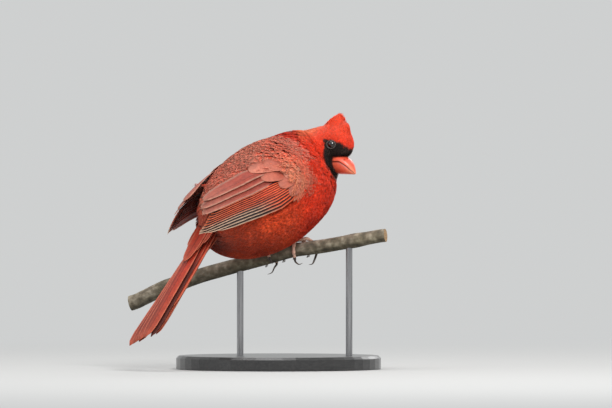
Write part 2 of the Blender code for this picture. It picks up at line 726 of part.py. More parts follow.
def crest_vane(start, end, aside, rise, width):
    """A flat tapered feather laid on the crown from one angle to another, its tip lifted clear."""
    hub = in_head(*CREST_HUB)
    ways = []
    for part in CREST_PARTS:
        t = math.radians(start + (end - start) * part)
        f = math.radians(aside * (1.0 - 0.45 * part))
        ways.append(np.array([math.cos(t) * math.cos(f), math.sin(f), math.sin(t) * math.cos(f)]) @ HEAD_AXES)
    ways = np.array(ways)
    reach = cast(body_field, hub, ways, 60.0)
    lifts = [CREST_SUNK] + [CREST_CLEAR + share * rise for share in CREST_LIFTS[1:]]
    spine = [hub + (distance + lift) * way for distance, lift, way in zip(reach, lifts, ways)]
    top = []
    low = []
    for i, spot in enumerate(spine):
        ahead = spine[min(i + 1, len(spine) - 1)] - spine[max(i - 1, 0)]
        across = unit(np.cross(ways[i], ahead))
        out = unit(np.cross(ahead, across))
        wide = width * CREST_WIDTHS[i]
        thick = CREST_TIP_THICK if i == len(spine) - 1 else CREST_THICK
        top.append([spot + 0.5 * k * wide * across - 0.5 * abs(k) * out * wide / width for k in (-1, 0, 1)])
        low.append([p - thick * out for p in top[-1]])
    return thin_solid(np.array(top), np.array(low))


def lid_ring(side):
    """A soft ring round the eye, facing out along the eye's own axis."""
    x, y, z = EYE_PLACE
    eye = in_head(x, side * y, z)
    out = unit(np.array([EYE_AXIS[0], side * EYE_AXIS[1], EYE_AXIS[2]]) @ HEAD_AXES)
    across = unit(np.cross(out, HEAD_AXES[2]))
    up = np.cross(across, out)
    points = []
    faces = []
    around = 14
    section = 5
    centre = eye + LID_HEIGHT * out
    for i in range(around):
        t = 2.0 * math.pi * i / around
        radial = math.cos(t) * across + 0.94 * math.sin(t) * up
        for j in range(section):
            f = 2.0 * math.pi * j / section
            points.append(
                centre + (LID_RING + LID_THICK * math.cos(f)) * radial + 1.2 * LID_THICK * math.sin(f) * out
            )
    for i in range(around):
        for j in range(section):
            a = i * section
            b = (i + 1) % around * section
            k = (j + 1) % section
            faces.append((a + j, b + j, b + k))
            faces.append((a + j, b + k, a + k))
    return points, faces


def build_head():
    centre = in_head(*CREST_HUB)
    directions, faces = ball_rings(turned(HEAD_YAW, 75.0), 32, 20)
    reach = cast(body_field, centre, directions, 60.0)
    made = add_object("head", centre + reach[:, None] * directions, faces)
    head_way = unit(HEAD_CUT_WAY)
    slice_off(made, HEAD_CUT + 0.5 * PART_GAP * head_way, -head_way)
    pieces = []
    for number, feather in enumerate(CREST):
        points, vane_faces = crest_vane(*feather)
        pieces.append(add_object("crest_" + str(number), points, vane_faces, smooth=False))
    for side in (-1.0, 1.0):
        points, ring_faces = lid_ring(side)
        pieces.append(add_object("lid_" + str(side), points, ring_faces))
    apply_boolean(made, "UNION", pieces)
    cutters = []
    for side in (-1.0, 1.0):
        x, y, z = EYE_PLACE
        points, eye_faces = ball(in_head(x, side * y, z), EYE_RADIUS + PART_GAP, 16, 10, HEAD_AXES)
        cutters.append(add_object("socket_" + str(side), points, eye_faces))
    points, pocket_faces = bill_rings("pocket", grow=PART_GAP)
    cutters.append(add_object("pocket", points, pocket_faces))
    apply_boolean(made, "DIFFERENCE", cutters)
    return dress(made, "head_red")


def build_bill():
    points, faces = bill_rings("upper")
    upper = add_object("bill_upper", points, faces)
    dimples = []
    for side in (-1.0, 1.0):
        x, y, z = NOSTRIL_PLACE
        points, dimple_faces = ball(in_bill(x, side * y, z), NOSTRIL_RADIUS, 10, 6, HEAD_AXES)
        dimples.append(add_object("dimple_" + str(side), points, dimple_faces))
    apply_boolean(upper, "DIFFERENCE", dimples)
    dress(upper, "bill_coral")
    points, faces = bill_rings("lower")
    dress(add_object("bill_lower", points, faces), "bill_coral")


def build_eyes():
    for name, side in (("eye_right", -1.0), ("eye_left", 1.0)):
        x, y, z = EYE_PLACE
        points, faces = ball(in_head(x, side * y, z), EYE_RADIUS, 14, 9, HEAD_AXES)
        dress(add_object(name, points, faces), "eye_dark")


def wing_vane(side, start, end, low_edge, width, tilt, levels, covert=False):
    """One wing feather; its upper edge dips under the next feather above."""
    top = []
    bottom = []
    parts = COVERT_PARTS if covert else VANE_PARTS
    widths = COVERT_WIDTHS if covert else VANE_WIDTHS
    columns = (0.0, 1.0) if covert else (0.0, SHAFT_PLACE, 1.0)
    for part, share in zip(parts, widths):
        a = start + (end - start) * part
        theta = low_edge(a)
        per_mm = 180.0 / math.pi / float(barrel(a))
        full = width(a) if callable(width) else width
        wide = full * share
        shift = (0.5 if covert else 0.4) * (full - wide) if part > 0.5 or covert else 0.0
        lean = tilt(a)
        up_row = []
        low_row = []
        for across in columns:
            b = shift + wide * across
            level = levels[0] + (levels[1] - levels[0]) * part - lean * b
            if across == SHAFT_PLACE:
                level += SHAFT_RISE
            up_row.append(wing_point(side, a, theta + b * per_mm, level))
            low_row.append(wing_point(side, a, theta + b * per_mm, level - VANE_THICK))
        top.append(up_row)
        bottom.append(low_row)
    return thin_solid(np.array(top), np.array(bottom))


def flight_edge(share):
    def edge(a):
        low = float(np.interp(a, *WING_LOW))
        high = float(np.interp(a, *WING_TERTIAL))
        return low + (high - low) * share
    return edge


def flight_tilt(a):
    low = float(np.interp(a, *WING_LOW))
    high = float(np.interp(a, *WING_TERTIAL))
    step = (high - low) / FLIGHT_COUNT * math.pi / 180.0 * float(barrel(a))
    return FLIGHT_DIP / max(step, 0.9)


def covert_band(a):
    """Lowest and highest angle of the covert tiers at this reach."""
    return float(np.interp(a, *WING_LOW)) + 1.0, float(np.interp(a, *WING_TOP)) - 1.5


def arm_lens(side):
    """The folded arm, a lens that every feather root sinks into."""
    top = np.zeros((ARM_ROWS, ARM_COLUMNS, 3))
    bottom = np.zeros((ARM_ROWS, ARM_COLUMNS, 3))
    for i in range(ARM_ROWS):
        a = ARM_SPAN[0] + (ARM_SPAN[1] - ARM_SPAN[0]) * i / (ARM_ROWS - 1)
        low = float(np.interp(a, *WING_LOW))
        high = float(np.interp(a, *WING_TOP))
        end = math.sin(math.pi * (0.06 + 0.88 * i / (ARM_ROWS - 1))) ** 0.5
        for j in range(ARM_COLUMNS):
            share = j / (ARM_COLUMNS - 1)
            theta = low + (high - low) * share
            bulge = math.sin(math.pi * (0.05 + 0.9 * share)) ** 0.45 * end
            front = 0.9 * max(0.0, 1.0 - i / 4.0)
            top[i, j] = wing_point(side, a, theta, ARM_LEVEL + (2.0 + front) * bulge)
            bottom[i, j] = wing_point(side, a, theta, ARM_LEVEL - 0.9 * bulge)
    return thin_solid(top, bottom)


def build_wing(name, side):
    made = add_object(name, *arm_lens(side))
    pieces = []

    def add(points_and_faces):
        pieces.append(add_object(name + "_" + str(len(pieces)), *points_and_faces, smooth=False))

    for k in range(FLIGHT_COUNT):
        width = FLIGHT_WIDTH - FLIGHT_NARROWING * k
        edge = flight_edge(k / FLIGHT_COUNT)
        start = float(np.interp(edge(COVERT_READING), *COVERT_TIPS)) - FLIGHT_ROOT
        add(wing_vane(side, start, FLIGHT_TIPS[k], edge, width, flight_tilt, (FLIGHT_LEVEL, FLIGHT_LEVEL)))
    # tertials lie over the secondaries, each wider and shorter than the last
    for k, (end, from_edge, width) in enumerate(TERTIALS):
        def edge(a, shift=from_edge):
            return float(np.interp(a, *WING_TERTIAL)) + shift * (0.75 + 0.25 * min(a, 60.0) / 60.0)
        level = TERTIAL_LEVEL + TERTIAL_STEP * k
        levels = (level - TERTIAL_SUNK, level)
        add(wing_vane(side, TERTIAL_START, end, edge, width, lambda a: TERTIAL_LEAN, levels))
    # coverts lie side by side, each tier over the roots of the one behind
    for count, length, short, levels in COVERT_TIERS:
        for k in range(count):
            def edge(a, share=k / count):
                low, high = covert_band(a)
                return low + (high - low) * share

            def width(a, count=count):
                low, high = covert_band(a)
                return (high - low) / count * math.pi / 180.0 * float(barrel(a)) - COVERT_GAP
            tip = float(np.interp(edge(COVERT_READING), *COVERT_TIPS)) - short
            start = max(tip - length, ARM_SPAN[0] + 1.0)
            add(wing_vane(side, start, tip, edge, width, lambda a: 0.0, levels, True))
    apply_boolean(made, "UNION", pieces)
    return dress(made, "wing_rose")


def tail_point(s, y, n):
    return TAIL_ROOT + np.array([s, y, n]) @ TAIL_AXES


def tail_vane(root_y, tip_y, depth, length, half, start):
    top = []
    bottom = []
    for part, share in zip(TAIL_PARTS, TAIL_WIDTHS):
        s = start + (length - start) * part
        up_row = []
        low_row = []
        for across in (-1.0, 0.0, 1.0):
            y = root_y + (tip_y - root_y) * part ** TAIL_SWEEP + across * half * share
            n = depth - TAIL_CROWN * abs(across) * share
            up_row.append(tail_point(s, y, n))
            low_row.append(tail_point(s, y, n - VANE_THICK))
        top.append(up_row)
        bottom.append(low_row)
    return thin_solid(np.array(top), np.array(bottom))


def build_tail():
    start, end = TAIL_CORE_SPAN
    line = [tail_point(s, 0.0, TAIL_CORE_DEPTH) for s in (start, 8.0, 18.0, end)]
    radii = [TAIL_CORE_RADIUS] * 3 + [0.4 * TAIL_CORE_RADIUS]
    points, faces = tube(line, radii, 14, squash=TAIL_CORE_WIDENING, up=TAIL_AXES[2])
    made = add_object("tail", points, faces)
    pieces = []
    for feather in TAIL_FEATHERS + TAIL_COVERTS:
        vane_points, vane_faces = tail_vane(*feather, TAIL_CLEAR + PART_GAP)
        pieces.append(add_object("feather_" + str(len(pieces)), vane_points, vane_faces, smooth=False))
    apply_boolean(made, "UNION", pieces)
    return dress(made, "tail_red")


def toe_path(side, name):
    r, _ = LEG_PLACES[side]
    out = PART_GAP + TOE_RADIUS + TOE_RISE
    return smooth_path([round_perch(r + shift, angle, out) for shift, angle in TOES[side][name]], 2)


def claw_path(side, name):
    toe = toe_path(side, name)
    heading = unit(toe[-1] - toe[-2])
    start = toe[-1] + 1.2 * PART_GAP * heading
    root = [start, start + 0.7 * heading]
    hanging = HANGING_CLAWS.get((side, name))
    if hanging:
        return [start] + smooth_path(root[1:] + [beside_perch(*p) for p in hanging], 2)
    r, _ = LEG_PLACES[side]
    shift, angle = TOES[side][name][-1]
    turn = 1.0 if angle > 0.0 else -1.0
    onward = [round_perch(r + shift, angle + turn * t, CLAW_LIFT) for t in CLAW_TURNS]
    return [start] + smooth_path(root[1:] + onward, 2)


def build_legs():
    for side in ("right", "left"):
        foot, knee = leg_axis(side)
        path = [foot - ANKLE_RISE * unit(knee - foot), foot + 0.35 * (knee - foot), knee]
        points, faces = tube(path, [LEG_RADIUS + 0.1, LEG_RADIUS, LEG_RADIUS], 12)
        made = add_object("leg_" + side, points, faces)
        pieces = []
        points, faces = ball(foot, TOE_RADIUS + 0.25, 10, 6)
        pieces.append(add_object("pad_" + side, points, faces))
        for name in TOES[side]:
            path = toe_path(side, name)
            count = len(path)
            radii = []
            for i in range(count):
                joint = math.cos(2.0 * math.pi * 3.0 * i / (count - 1))
                taper = i / (count - 1)
                radii.append(TOE_RADIUS + TOE_SWELLING * (joint - taper - 1.0))
            points, faces = tube(path, radii, 6)
            pieces.append(add_object("toe_" + name, points, faces))
            claw = claw_path(side, name)
            length = len(claw)
            sizes = [CLAW_RADIUS * (1.0 - 0.8 * (i / (length - 1)) ** 1.3) for i in range(length)]
            points, faces = tube(claw, sizes, 6, squash=0.85, tip=True)
            dress(add_object("claw_" + side + "_" + name, points, faces), "claw_brown")
        apply_boolean(made, "UNION", pieces)
        dress(made, "leg_tan")


def build_perch_and_stand():
    path = []
    radii = []
    stations = np.linspace(PERCH_LINE[0][0], PERCH_LINE[-1][0], 21)
    for r in stations:
        path.append(perch_centre(r))
        radii.append(perch_thickness(r))
    points, faces = tube(path, radii, 12)
    perch = add_object("perch", points, faces)
    base_top = BASE_HEIGHT - PERCH_HEIGHT
    floor = -PERCH_HEIGHT
    middle = np.array([-PERCH_OFFSET[0], -PERCH_OFFSET[1], 0.0])
    profile = [
        (BASE_RADIUS, floor), (BASE_RADIUS, base_top - BASE_BEVEL), (BASE_RADIUS - BASE_BEVEL, base_top),
    ]
    around = 48
    points = []
    for radius, z in profile:
        for j in range(around):
            t = 2.0 * math.pi * j / around
            points.append(middle + np.array([radius * math.cos(t), radius * math.sin(t), z]))
    faces = []
    for i in range(len(profile) - 1):
        for j in range(around):
            k = (j + 1) % around
            faces.append((i * around + j, i * around + k, (i + 1) * around + k, (i + 1) * around + j))
    faces.append(tuple(reversed(range(around))))
    faces.append(tuple(range(2 * around, 3 * around)))
    base = add_object("stand_base", points, faces, smooth=False)
    perch_holes = []
    base_holes = []
    for name, r in RODS.items():
        centre, _, _, _ = perch_frame(r)
        foot = np.array([centre[0], centre[1], base_top])
        head = np.array([centre[0], centre[1], centre[2] - perch_thickness(r) + SOCKET_DEPTH])
        low = foot - np.array([0.0, 0.0, SOCKET_DEPTH])
        rise = np.array([0.0, 0.0, 1.0])
        points, faces = tube([low + PART_GAP * rise, head - PART_GAP * rise], [ROD_RADIUS] * 2, 20)
        dress(add_object(name, points, faces), "rod_steel")
        points, faces = tube([low, foot + BASE_DRILL_RISE * rise], [ROD_RADIUS + PART_GAP] * 2, 20)
        base_holes.append(add_object("base_hole_" + name, points, faces))
        points, faces = tube([head - PERCH_DRILL_REACH * rise, head], [ROD_RADIUS + PART_GAP] * 2, 20)
        perch_holes.append(add_object("perch_hole_" + name, points, faces))
    apply_boolean(perch, "DIFFERENCE", perch_holes)
    apply_boolean(base, "DIFFERENCE", base_holes)
    for face in perch.data.polygons:
        face.use_smooth = True
    dress(perch, "bark_grey")
    dress(base, "stand_black")


build_torso()
build_neck()
build_head()
build_bill()
build_eyes()
build_wing("wing_right", -1.0)
build_wing("wing_left", 1.0)
build_tail()
build_legs()
build_perch_and_stand()
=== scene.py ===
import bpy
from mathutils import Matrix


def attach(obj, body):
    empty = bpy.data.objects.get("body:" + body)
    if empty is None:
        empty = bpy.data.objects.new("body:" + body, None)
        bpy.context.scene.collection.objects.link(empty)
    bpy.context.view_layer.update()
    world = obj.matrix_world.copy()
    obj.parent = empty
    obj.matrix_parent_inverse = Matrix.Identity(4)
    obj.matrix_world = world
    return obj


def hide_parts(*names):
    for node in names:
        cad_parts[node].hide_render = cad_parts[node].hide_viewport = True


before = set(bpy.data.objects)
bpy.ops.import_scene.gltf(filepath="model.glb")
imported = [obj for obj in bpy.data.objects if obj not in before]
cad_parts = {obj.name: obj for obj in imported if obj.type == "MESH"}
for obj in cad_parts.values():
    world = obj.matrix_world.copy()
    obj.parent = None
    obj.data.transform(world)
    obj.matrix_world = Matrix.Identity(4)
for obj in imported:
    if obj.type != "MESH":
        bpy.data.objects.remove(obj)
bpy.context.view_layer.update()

import math

import bpy
import numpy as np
from mathutils import Vector, kdtree, noise

SEED = 20
MM = 0.001

# sizes shared with the part's source, in millimetres from the perch's middle under the bird
SHIFT = np.array([6.0, 3.0, 70.0])
BODY_CENTRE = np.array([-12.0, 0.0, 34.6])
BREAST_CENTRE = np.array([9.7, -2.6, 39.4])
RUMP_CENTRE = np.array([-45.0, 0.0, 28.0])
NECK_CENTRE = np.array([11.4, -1.4, 52.0])
HEAD_CENTRE = np.array([30.2, -13.8, 63.8])
HEAD_YAW = -75.0
NAPE_CENTRE = np.array([21.5, -2.5, 67.3])
EYE_PLACE = np.array([2.1, 7.0, 1.9])
EYE_AXIS = np.array([0.36, 0.93, 0.06])
EYE_RADIUS = 3.2
LID_RING = 2.62
LID_HEIGHT = 2.6
LID_THICK = 0.3
BILL_BASE = (5.15, 0.0, -10.7)
BILL_LENGTH = 10.9
BARREL_RADIUS = 33.2
BARREL_LENGTH = 87.0
WING_BED = 3.9
WING_FRONT = -9.0
WING_BACK = 70.0
TAIL_ROOT = np.array([-51.0, 0.0, 27.0])
TAIL_SLOPE = math.radians(53.6)
PERCH_RADIUS = 4.4
PART_GAP = 0.3
TOE_RADIUS = 1.1
LEG_RADIUS = 1.25

# room that the feathers leave round the perch and the eyes
COAT_PERCH_GAP = 1.2
TIP_PERCH_GAP = 0.5
ROOT_EYE_GAP = 3.1
TIP_EYE_GAP = 2.9


def unit(v):
    return v / (np.linalg.norm(v, axis=-1, keepdims=True) + 1e-12)


def turned(yaw, pitch):
    """Axes turned left by yaw and up by pitch, in degrees: rows for ahead, left and up."""
    y = math.radians(yaw)
    p = math.radians(pitch)
    forward = np.array([math.cos(p) * math.cos(y), math.cos(p) * math.sin(y), math.sin(p)])
    left = np.array([-math.sin(y), math.cos(y), 0.0])
    return np.stack([forward, left, np.cross(forward, left)])


BODY_AXES = turned(0.0, 28.0)
HEAD_AXES = turned(HEAD_YAW, 0.0)
BILL_AXES = turned(HEAD_YAW, -26.7)
BACKWARD = -BODY_AXES[0]
DORSAL = BODY_AXES[2]
LEFTWARD = np.array([0.0, 1.0, 0.0])
UPWARD = np.array([0.0, 0.0, 1.0])
TAIL_AXES = np.array([
    [-math.cos(TAIL_SLOPE), 0.0, -math.sin(TAIL_SLOPE)],
    [0.0, 1.0, 0.0],
    [-math.sin(TAIL_SLOPE), 0.0, math.cos(TAIL_SLOPE)],
])
# the photo's right and its line of sight
RIGHT = np.array([0.766, -0.643, 0.0])
AWAY = np.array([0.643, 0.766, 0.0])


def in_head(x, y, z):
    return HEAD_CENTRE + np.array([x, y, z]) @ HEAD_AXES


def from_head(points):
    """Points as seen from the head: ahead, left and up from its middle."""
    return (points - HEAD_CENTRE) @ HEAD_AXES.T


def in_bill(s, y, z):
    return in_head(*BILL_BASE) + np.array([s, y, z]) @ BILL_AXES


# rounded masses: middle, axes, reach ahead, back, sideways and up, and how softly each joins
MASSES = [
    (BODY_CENTRE, BODY_AXES, (46.0, 53.0, 32.6, 32.6), 0.0),
    (BREAST_CENTRE, turned(0.0, 40.0), (23.0, 22.0, 22.0, 20.0), 8.0),
    (RUMP_CENTRE, turned(0.0, 50.0), (17.0, 18.0, 15.0, 13.0), 8.0),
    (NECK_CENTRE, turned(-40.0, 0.0), (17.5, 23.0, 18.0, 22.4), 6.0),
    (in_head(-8.0, 0.0, 3.8), HEAD_AXES, (9.0, 10.0, 9.0, 9.2), 6.0),
    (in_head(-2.3, 0.0, 2.0), HEAD_AXES, (11.4, 11.5, 10.4, 10.4), 5.0),
    (in_head(4.0, 0.0, 2.2), HEAD_AXES, (7.8, 8.0, 7.2, 9.2), 3.5),
    (in_head(-3.0, 0.0, -9.8), turned(HEAD_YAW, 15.0), (6.8, 7.0, 5.8, 8.8), 3.0),
    (in_head(1.0, 0.0, 11.5), turned(HEAD_YAW, 12.0), (6.0, 6.5, 4.2, 6.8), 4.0),
    (in_head(2.4, 0.0, 13.0), turned(HEAD_YAW, -14.0), (2.5, 2.2, 1.6, 7.3), 2.5),
    (in_head(5.6, 0.0, 10.0), turned(HEAD_YAW, -30.0), (3.0, 4.0, 3.6, 5.5), 3.0),
    (NAPE_CENTRE, turned(0.0, 0.0), (6.0, 7.0, 6.5, 6.3), 6.0),
]
CREST_TIP = in_head(3.4, 0.0, 21.0)
BOTH_SIDES = (np.array([1.0, -1.0, 1.0]), np.array([1.0, 1.0, 1.0]))
EYES = [in_head(*(EYE_PLACE * side)) for side in BOTH_SIDES]
EYE_OUTS = [unit((EYE_AXIS * side) @ HEAD_AXES) for side in BOTH_SIDES]

# the perch's middle line: reach along the photo's right, then height
PERCH_LINE = [
    (-93.0, -31.5), (-75.8, -23.0), (-48.5, -13.2), (-24.8, -6.8), (4.8, 1.5), (26.1, 4.4), (62.0, 11.0),
]
PERCH_NEARING = -0.27
# edges of the folded wing: reach back along the body, then degrees up round it
WING_LOW = (
    [-10.0, -6.0, 2.0, 8.0, 17.0, 32.0, 49.0, 61.0, 70.0],
    [26.0, 18.0, 6.0, 2.0, 1.0, 5.5, 12.0, 17.0, 24.0],
)
WING_TERTIAL = ([0.0, 17.0, 30.0, 43.0, 60.0], [24.0, 29.0, 32.0, 38.0, 47.0])
WING_TOP = (
    [-10.0, 0.0, 10.0, 17.0, 30.0, 43.0, 60.0, 70.0],
    [32.0, 44.0, 52.0, 58.0, 67.0, 73.0, 70.0, 66.0],
)
# the coverts' ends: degrees up, then reach back
COVERT_TIPS = ([0.0, 7.0, 14.0, 20.0, 25.0, 33.0, 58.0], [6.5, 8.5, 10.0, 12.5, 15.5, 18.0, 18.0])


def smoothstep(x, low, high):
    t = np.clip((x - low) / (high - low), 0.0, 1.0)
    return t * t * (3.0 - 2.0 * t)


def body_field(points):
    """Signed distance to the smoothly joined masses, negative inside."""
    total = None
    for centre, axes, (front, back, side, up), blend in MASSES:
        local = (points - centre) @ axes.T
        ahead = np.where(local[:, 0] > 0.0, front, back)
        size = np.stack(np.broadcast_arrays(ahead, side, up), axis=1)
        near = np.linalg.norm(local / size, axis=1)
        slope = np.linalg.norm(local / size ** 2, axis=1) + 1e-9
        away = near * (near - 1.0) / slope
        if total is None:
            total = away
        else:
            share = np.clip(0.5 + 0.5 * (total - away) / blend, 0.0, 1.0)
            total = total * (1.0 - share) + away * share - blend * share * (1.0 - share)
    return total


def perch_height(r):
    """Height of the perch's middle line, its corners rounded."""
    return sum(np.interp(r + shift, *zip(*PERCH_LINE)) for shift in (-4.0, 0.0, 4.0)) / 3.0


def perch_centre(r):
    return r * RIGHT + PERCH_NEARING * r * AWAY + perch_height(r) * UPWARD


def from_perch(points):
    """Vectors to the points from the perch's middle line."""
    along = RIGHT + PERCH_NEARING * AWAY
    r = points @ along / (along @ along)
    centre = r[:, None] * along
    centre[:, 2] = perch_height(r)
    return points - centre


def in_perch(points):
    """How far the points are inside the room round the perch."""
    return PERCH_RADIUS + COAT_PERCH_GAP - np.linalg.norm(from_perch(points), axis=1)


def barrel(a):
    """Radius of the barrel that the folded wing lies on, at a reach back from the body's middle."""
    sink = 2.4 * np.clip((5.0 - a) / 15.0, 0.0, 1.0) ** 2
    return BARREL_RADIUS * np.sqrt(np.clip(1.0 - (a / BARREL_LENGTH) ** 2, 0.05, 1.0)) - sink


def wing_point(side, a, theta, out):
    """Points out from the barrel, by reach back and degrees up; arrays are welcome."""
    t = np.radians(theta)
    reach = barrel(a) + out
    lateral = side * reach * np.cos(t)
    rise = reach * np.sin(t)
    return BODY_CENTRE + (a[..., None] * BACKWARD + lateral[..., None] * LEFTWARD + rise[..., None] * DORSAL)


def on_barrel(points):
    """Reach back, angle up and distance from the body's axis."""
    local = points - BODY_CENTRE
    a = local @ BACKWARD
    rise = local @ DORSAL
    return a, np.degrees(np.arctan2(rise, np.abs(local[:, 1]))), np.hypot(local[:, 1], rise)


def outside_wing(a, theta):
    """Millimetres outside the folded wing's outline, negative inside."""
    per_degree = math.pi / 180.0 * barrel(a)
    below = (np.interp(a, *WING_LOW) - theta) * per_degree
    above = (theta - np.interp(a, *WING_TOP)) * per_degree
    return np.maximum(np.maximum(below, above), np.maximum(WING_FRONT - a, a - WING_BACK))


def coat_field(points):
    """The outline of the coat: the masses, with beds for the wings and room for the perch."""
    a, theta, reach = on_barrel(points)
    outside = np.maximum(outside_wing(a, theta) - 2.0, 0.0)
    bed = reach - (barrel(a) - WING_BED + 1.6 * outside)
    return np.maximum(np.maximum(body_field(points), bed), in_perch(points))


def cover_field(points):
    """The outline for feathers that lie over the wing's front and top edge."""
    a, theta, reach = on_barrel(points)
    sunk = smoothstep(a, 14.0, 24.0) * (1.0 - smoothstep(theta, 46.0, 56.0)) + smoothstep(a, 44.0, 54.0)
    shell = reach - (barrel(a) + 1.0 - 6.0 * sunk)
    over = np.minimum(body_field(points), np.maximum(shell, outside_wing(a, theta) + 0.5))
    return np.maximum(over, in_perch(points))


def gradient(field, points):
    step = 0.05
    base = field(points)
    slopes = [(field(points + step * axis) - base) / step for axis in np.eye(3)]
    return base, np.stack(slopes, axis=1)


def settle(field, points, level, rounds=2):
    """Moves points along the field's slope to the wanted level."""
    for _ in range(rounds):
        value, slope = gradient(field, points)
        size = np.maximum((slope ** 2).sum(axis=1), 0.3)
        points = points - ((value - level) / size)[:, None] * slope
    return points


def capsule(points, start, end, radius=0.0):
    """Distance to a rounded rod, negative inside."""
    line = end - start
    along = np.clip((points - start) @ line / (line @ line), 0.0, 1.0)
    return np.linalg.norm(points - start - along[:, None] * line, axis=1) - radius


def from_bill(points, back, front, radius):
    """Distance to a rounded rod along the bill's middle."""
    return capsule(points, in_bill(back, 0.0, 0.0), in_bill(front, 0.0, 0.0), radius)


def head_share(points):
    return 1.0 - smoothstep(np.linalg.norm(points - HEAD_CENTRE, axis=1), 14.0, 27.0)


def coat_depth(points):
    """How far the skin lies inside the coat's outline."""
    near_bill = 1.0 - smoothstep(from_bill(points, -6.0, 2.0, 6.0), 0.0, 3.0)
    return 1.7 - 1.1 * head_share(points) + 1.3 * near_bill


# colours, given as 0 to 255 display values
def srgb(red, green, blue):
    values = np.array([red, green, blue], float) / 255.0
    return np.where(values <= 0.04045, values / 12.92, ((values + 0.055) / 1.055) ** 2.4)


CROWN = srgb(238, 66, 32)
CHEEK = srgb(240, 54, 18)
# the nape's paler pink-orange is a painted highlight
NAPE = srgb(244, 116, 76)
BREAST = srgb(216, 48, 20)
BELLY = srgb(222, 72, 34)
FLANK = srgb(200, 66, 32)
# painted shade: the vent is painted darker than its own colour, for the shade under the body
VENT_WITH_PAINTED_SHADE = srgb(160, 48, 24)
MANTLE = srgb(206, 70, 50)
MANTLE_GREY = srgb(184, 142, 132)
ROSE = srgb(208, 110, 86)
ROSE_GREY = srgb(214, 160, 142)
RUMP = srgb(206, 96, 76)
MASK = srgb(18, 13, 13)
# the black face in side view, seen from the photo's angle: to the right, then up, from the head's middle
MASK_OUTLINE = np.array([
    (-6.6, 4.4), (-4.7, 4.4), (-2.3, 4.5), (0.4, 2.9), (2.9, 2.0), (4.7, 0.4), (5.8, -0.9), (8.4, -2.1),
    (11.0, -4.1), (12.2, -7.5), (8.0, -11.0), (3.2, -17.2), (2.2, -19.9), (-0.4, -18.7), (-2.3, -15.9),
    (-4.1, -12.9), (-5.9, -9.9), (-6.8, -6.8), (-6.5, -1.4), (-6.3, 1.6), (-6.8, 3.6),
])
# a painted shadow line where the neck's feathers fold as the head turns
CREASE_SHADOW = (np.array([8.8, -8.6, 72.4]), np.array([12.4, -13.4, 68.9]))


def mix(first, second, share):
    """Two colours, or two sets of them, mixed by a share for each place."""
    share = np.asarray(share)[..., None]
    return first * (1.0 - share) + second * share


def mask_distance(points):
    """Distance to the black face round the bill, the same on both sides, negative inside."""
    local = from_head(points)
    flat = np.stack([0.819 * local[:, 0] - 0.573 * np.abs(local[:, 1]), local[:, 2]], axis=1)
    near = np.full(len(points), np.inf)
    inside = np.zeros(len(points), bool)
    for start, end in zip(MASK_OUTLINE, np.roll(MASK_OUTLINE, -1, axis=0)):
        near = np.minimum(near, capsule(flat, start, end))
        line = end - start
        crosses = (start[1] <= flat[:, 1]) != (end[1] <= flat[:, 1])
        rise = line[1] if abs(line[1]) > 1e-9 else 1e-9
        inside ^= crosses & (flat[:, 0] < start[0] + (flat[:, 1] - start[1]) * line[0] / rise)
    away = np.where(inside, -near, near)
    return np.maximum(away, -6.0 - local[:, 0])


def plumage_colour(points, normals):
    """The coat's colour at each place, used by the skin and by every tuft on it; it holds painted shade under
    the body and in the neck's fold, and a painted highlight on the nape.
    """
    a, theta, _ = on_barrel(points)
    local = from_head(points)
    down = -normals[:, 2]
    body = mix(BREAST, BELLY, smoothstep(a, -14.0, 10.0))
    body = mix(body, FLANK, smoothstep(a, 12.0, 40.0) * smoothstep(theta, -50.0, -8.0))
    # painted shade: the vent colour on faces that turn down
    body = mix(body, VENT_WITH_PAINTED_SHADE, smoothstep(a, 30.0, 48.0) * smoothstep(down, -0.3, 0.5))
    back = smoothstep(theta, 26.0, 46.0) * smoothstep(a, -32.0, -20.0)
    body = mix(body, MANTLE, back)
    body = mix(body, RUMP, smoothstep(a, 28.0, 44.0) * smoothstep(theta, 40.0, 60.0))
    shoulder = smoothstep(a, -16.0, -8.0) * (1.0 - smoothstep(a, 6.0, 12.0)) * smoothstep(theta, 2.0, 12.0)
    body = mix(body, ROSE, 0.85 * shoulder * (1.0 - 0.7 * back))
    # painted shade: the body is darker where it faces down, from the breast back
    body = body * (1.0 - 0.4 * smoothstep(down, 0.1, 0.9) * smoothstep(a, -8.0, 24.0))[:, None]
    crown = mix(CHEEK, CROWN, smoothstep(local[:, 2], -1.0, 8.0))
    # painted highlight: paler pink-orange on the back of the head
    crown = mix(crown, NAPE, smoothstep(-local[:, 0], 3.0, 12.0) * smoothstep(local[:, 2], -6.0, 6.0))
    colour = mix(body, crown, smoothstep(head_share(points), 0.04, 0.5))
    # painted shadow: a dark line along the neck's fold
    colour = mix(colour, MASK, 0.85 * np.exp(-(capsule(points, *CREASE_SHADOW) / 0.8) ** 2))
    return mix(colour, MASK, 1.0 - smoothstep(mask_distance(points), -0.3, 0.4))


# node materials
def new_material(name, settings):
    """A material and its nodes; settings go on the Principled shader's own sockets."""
    made = bpy.data.materials.new(name)
    made.use_nodes = True
    for socket, value in settings.items():
        made.node_tree.nodes["Principled BSDF"].inputs[socket].default_value = value
    return made, made.node_tree


def node(tree, kind, inputs=None, **settings):
    """A new node; inputs gives a socket a value or the output that feeds it."""
    made = tree.nodes.new("ShaderNode" + kind)
    for name, value in settings.items():
        setattr(made, name, value)
    for socket, value in (inputs or {}).items():
        if isinstance(value, bpy.types.NodeSocket):
            tree.links.new(value, made.inputs[socket])
        else:
            made.inputs[socket].default_value = value
    return made


def maths(tree, operation, *values):
    return node(tree, "Math", dict(enumerate(values)), operation=operation).outputs[0]


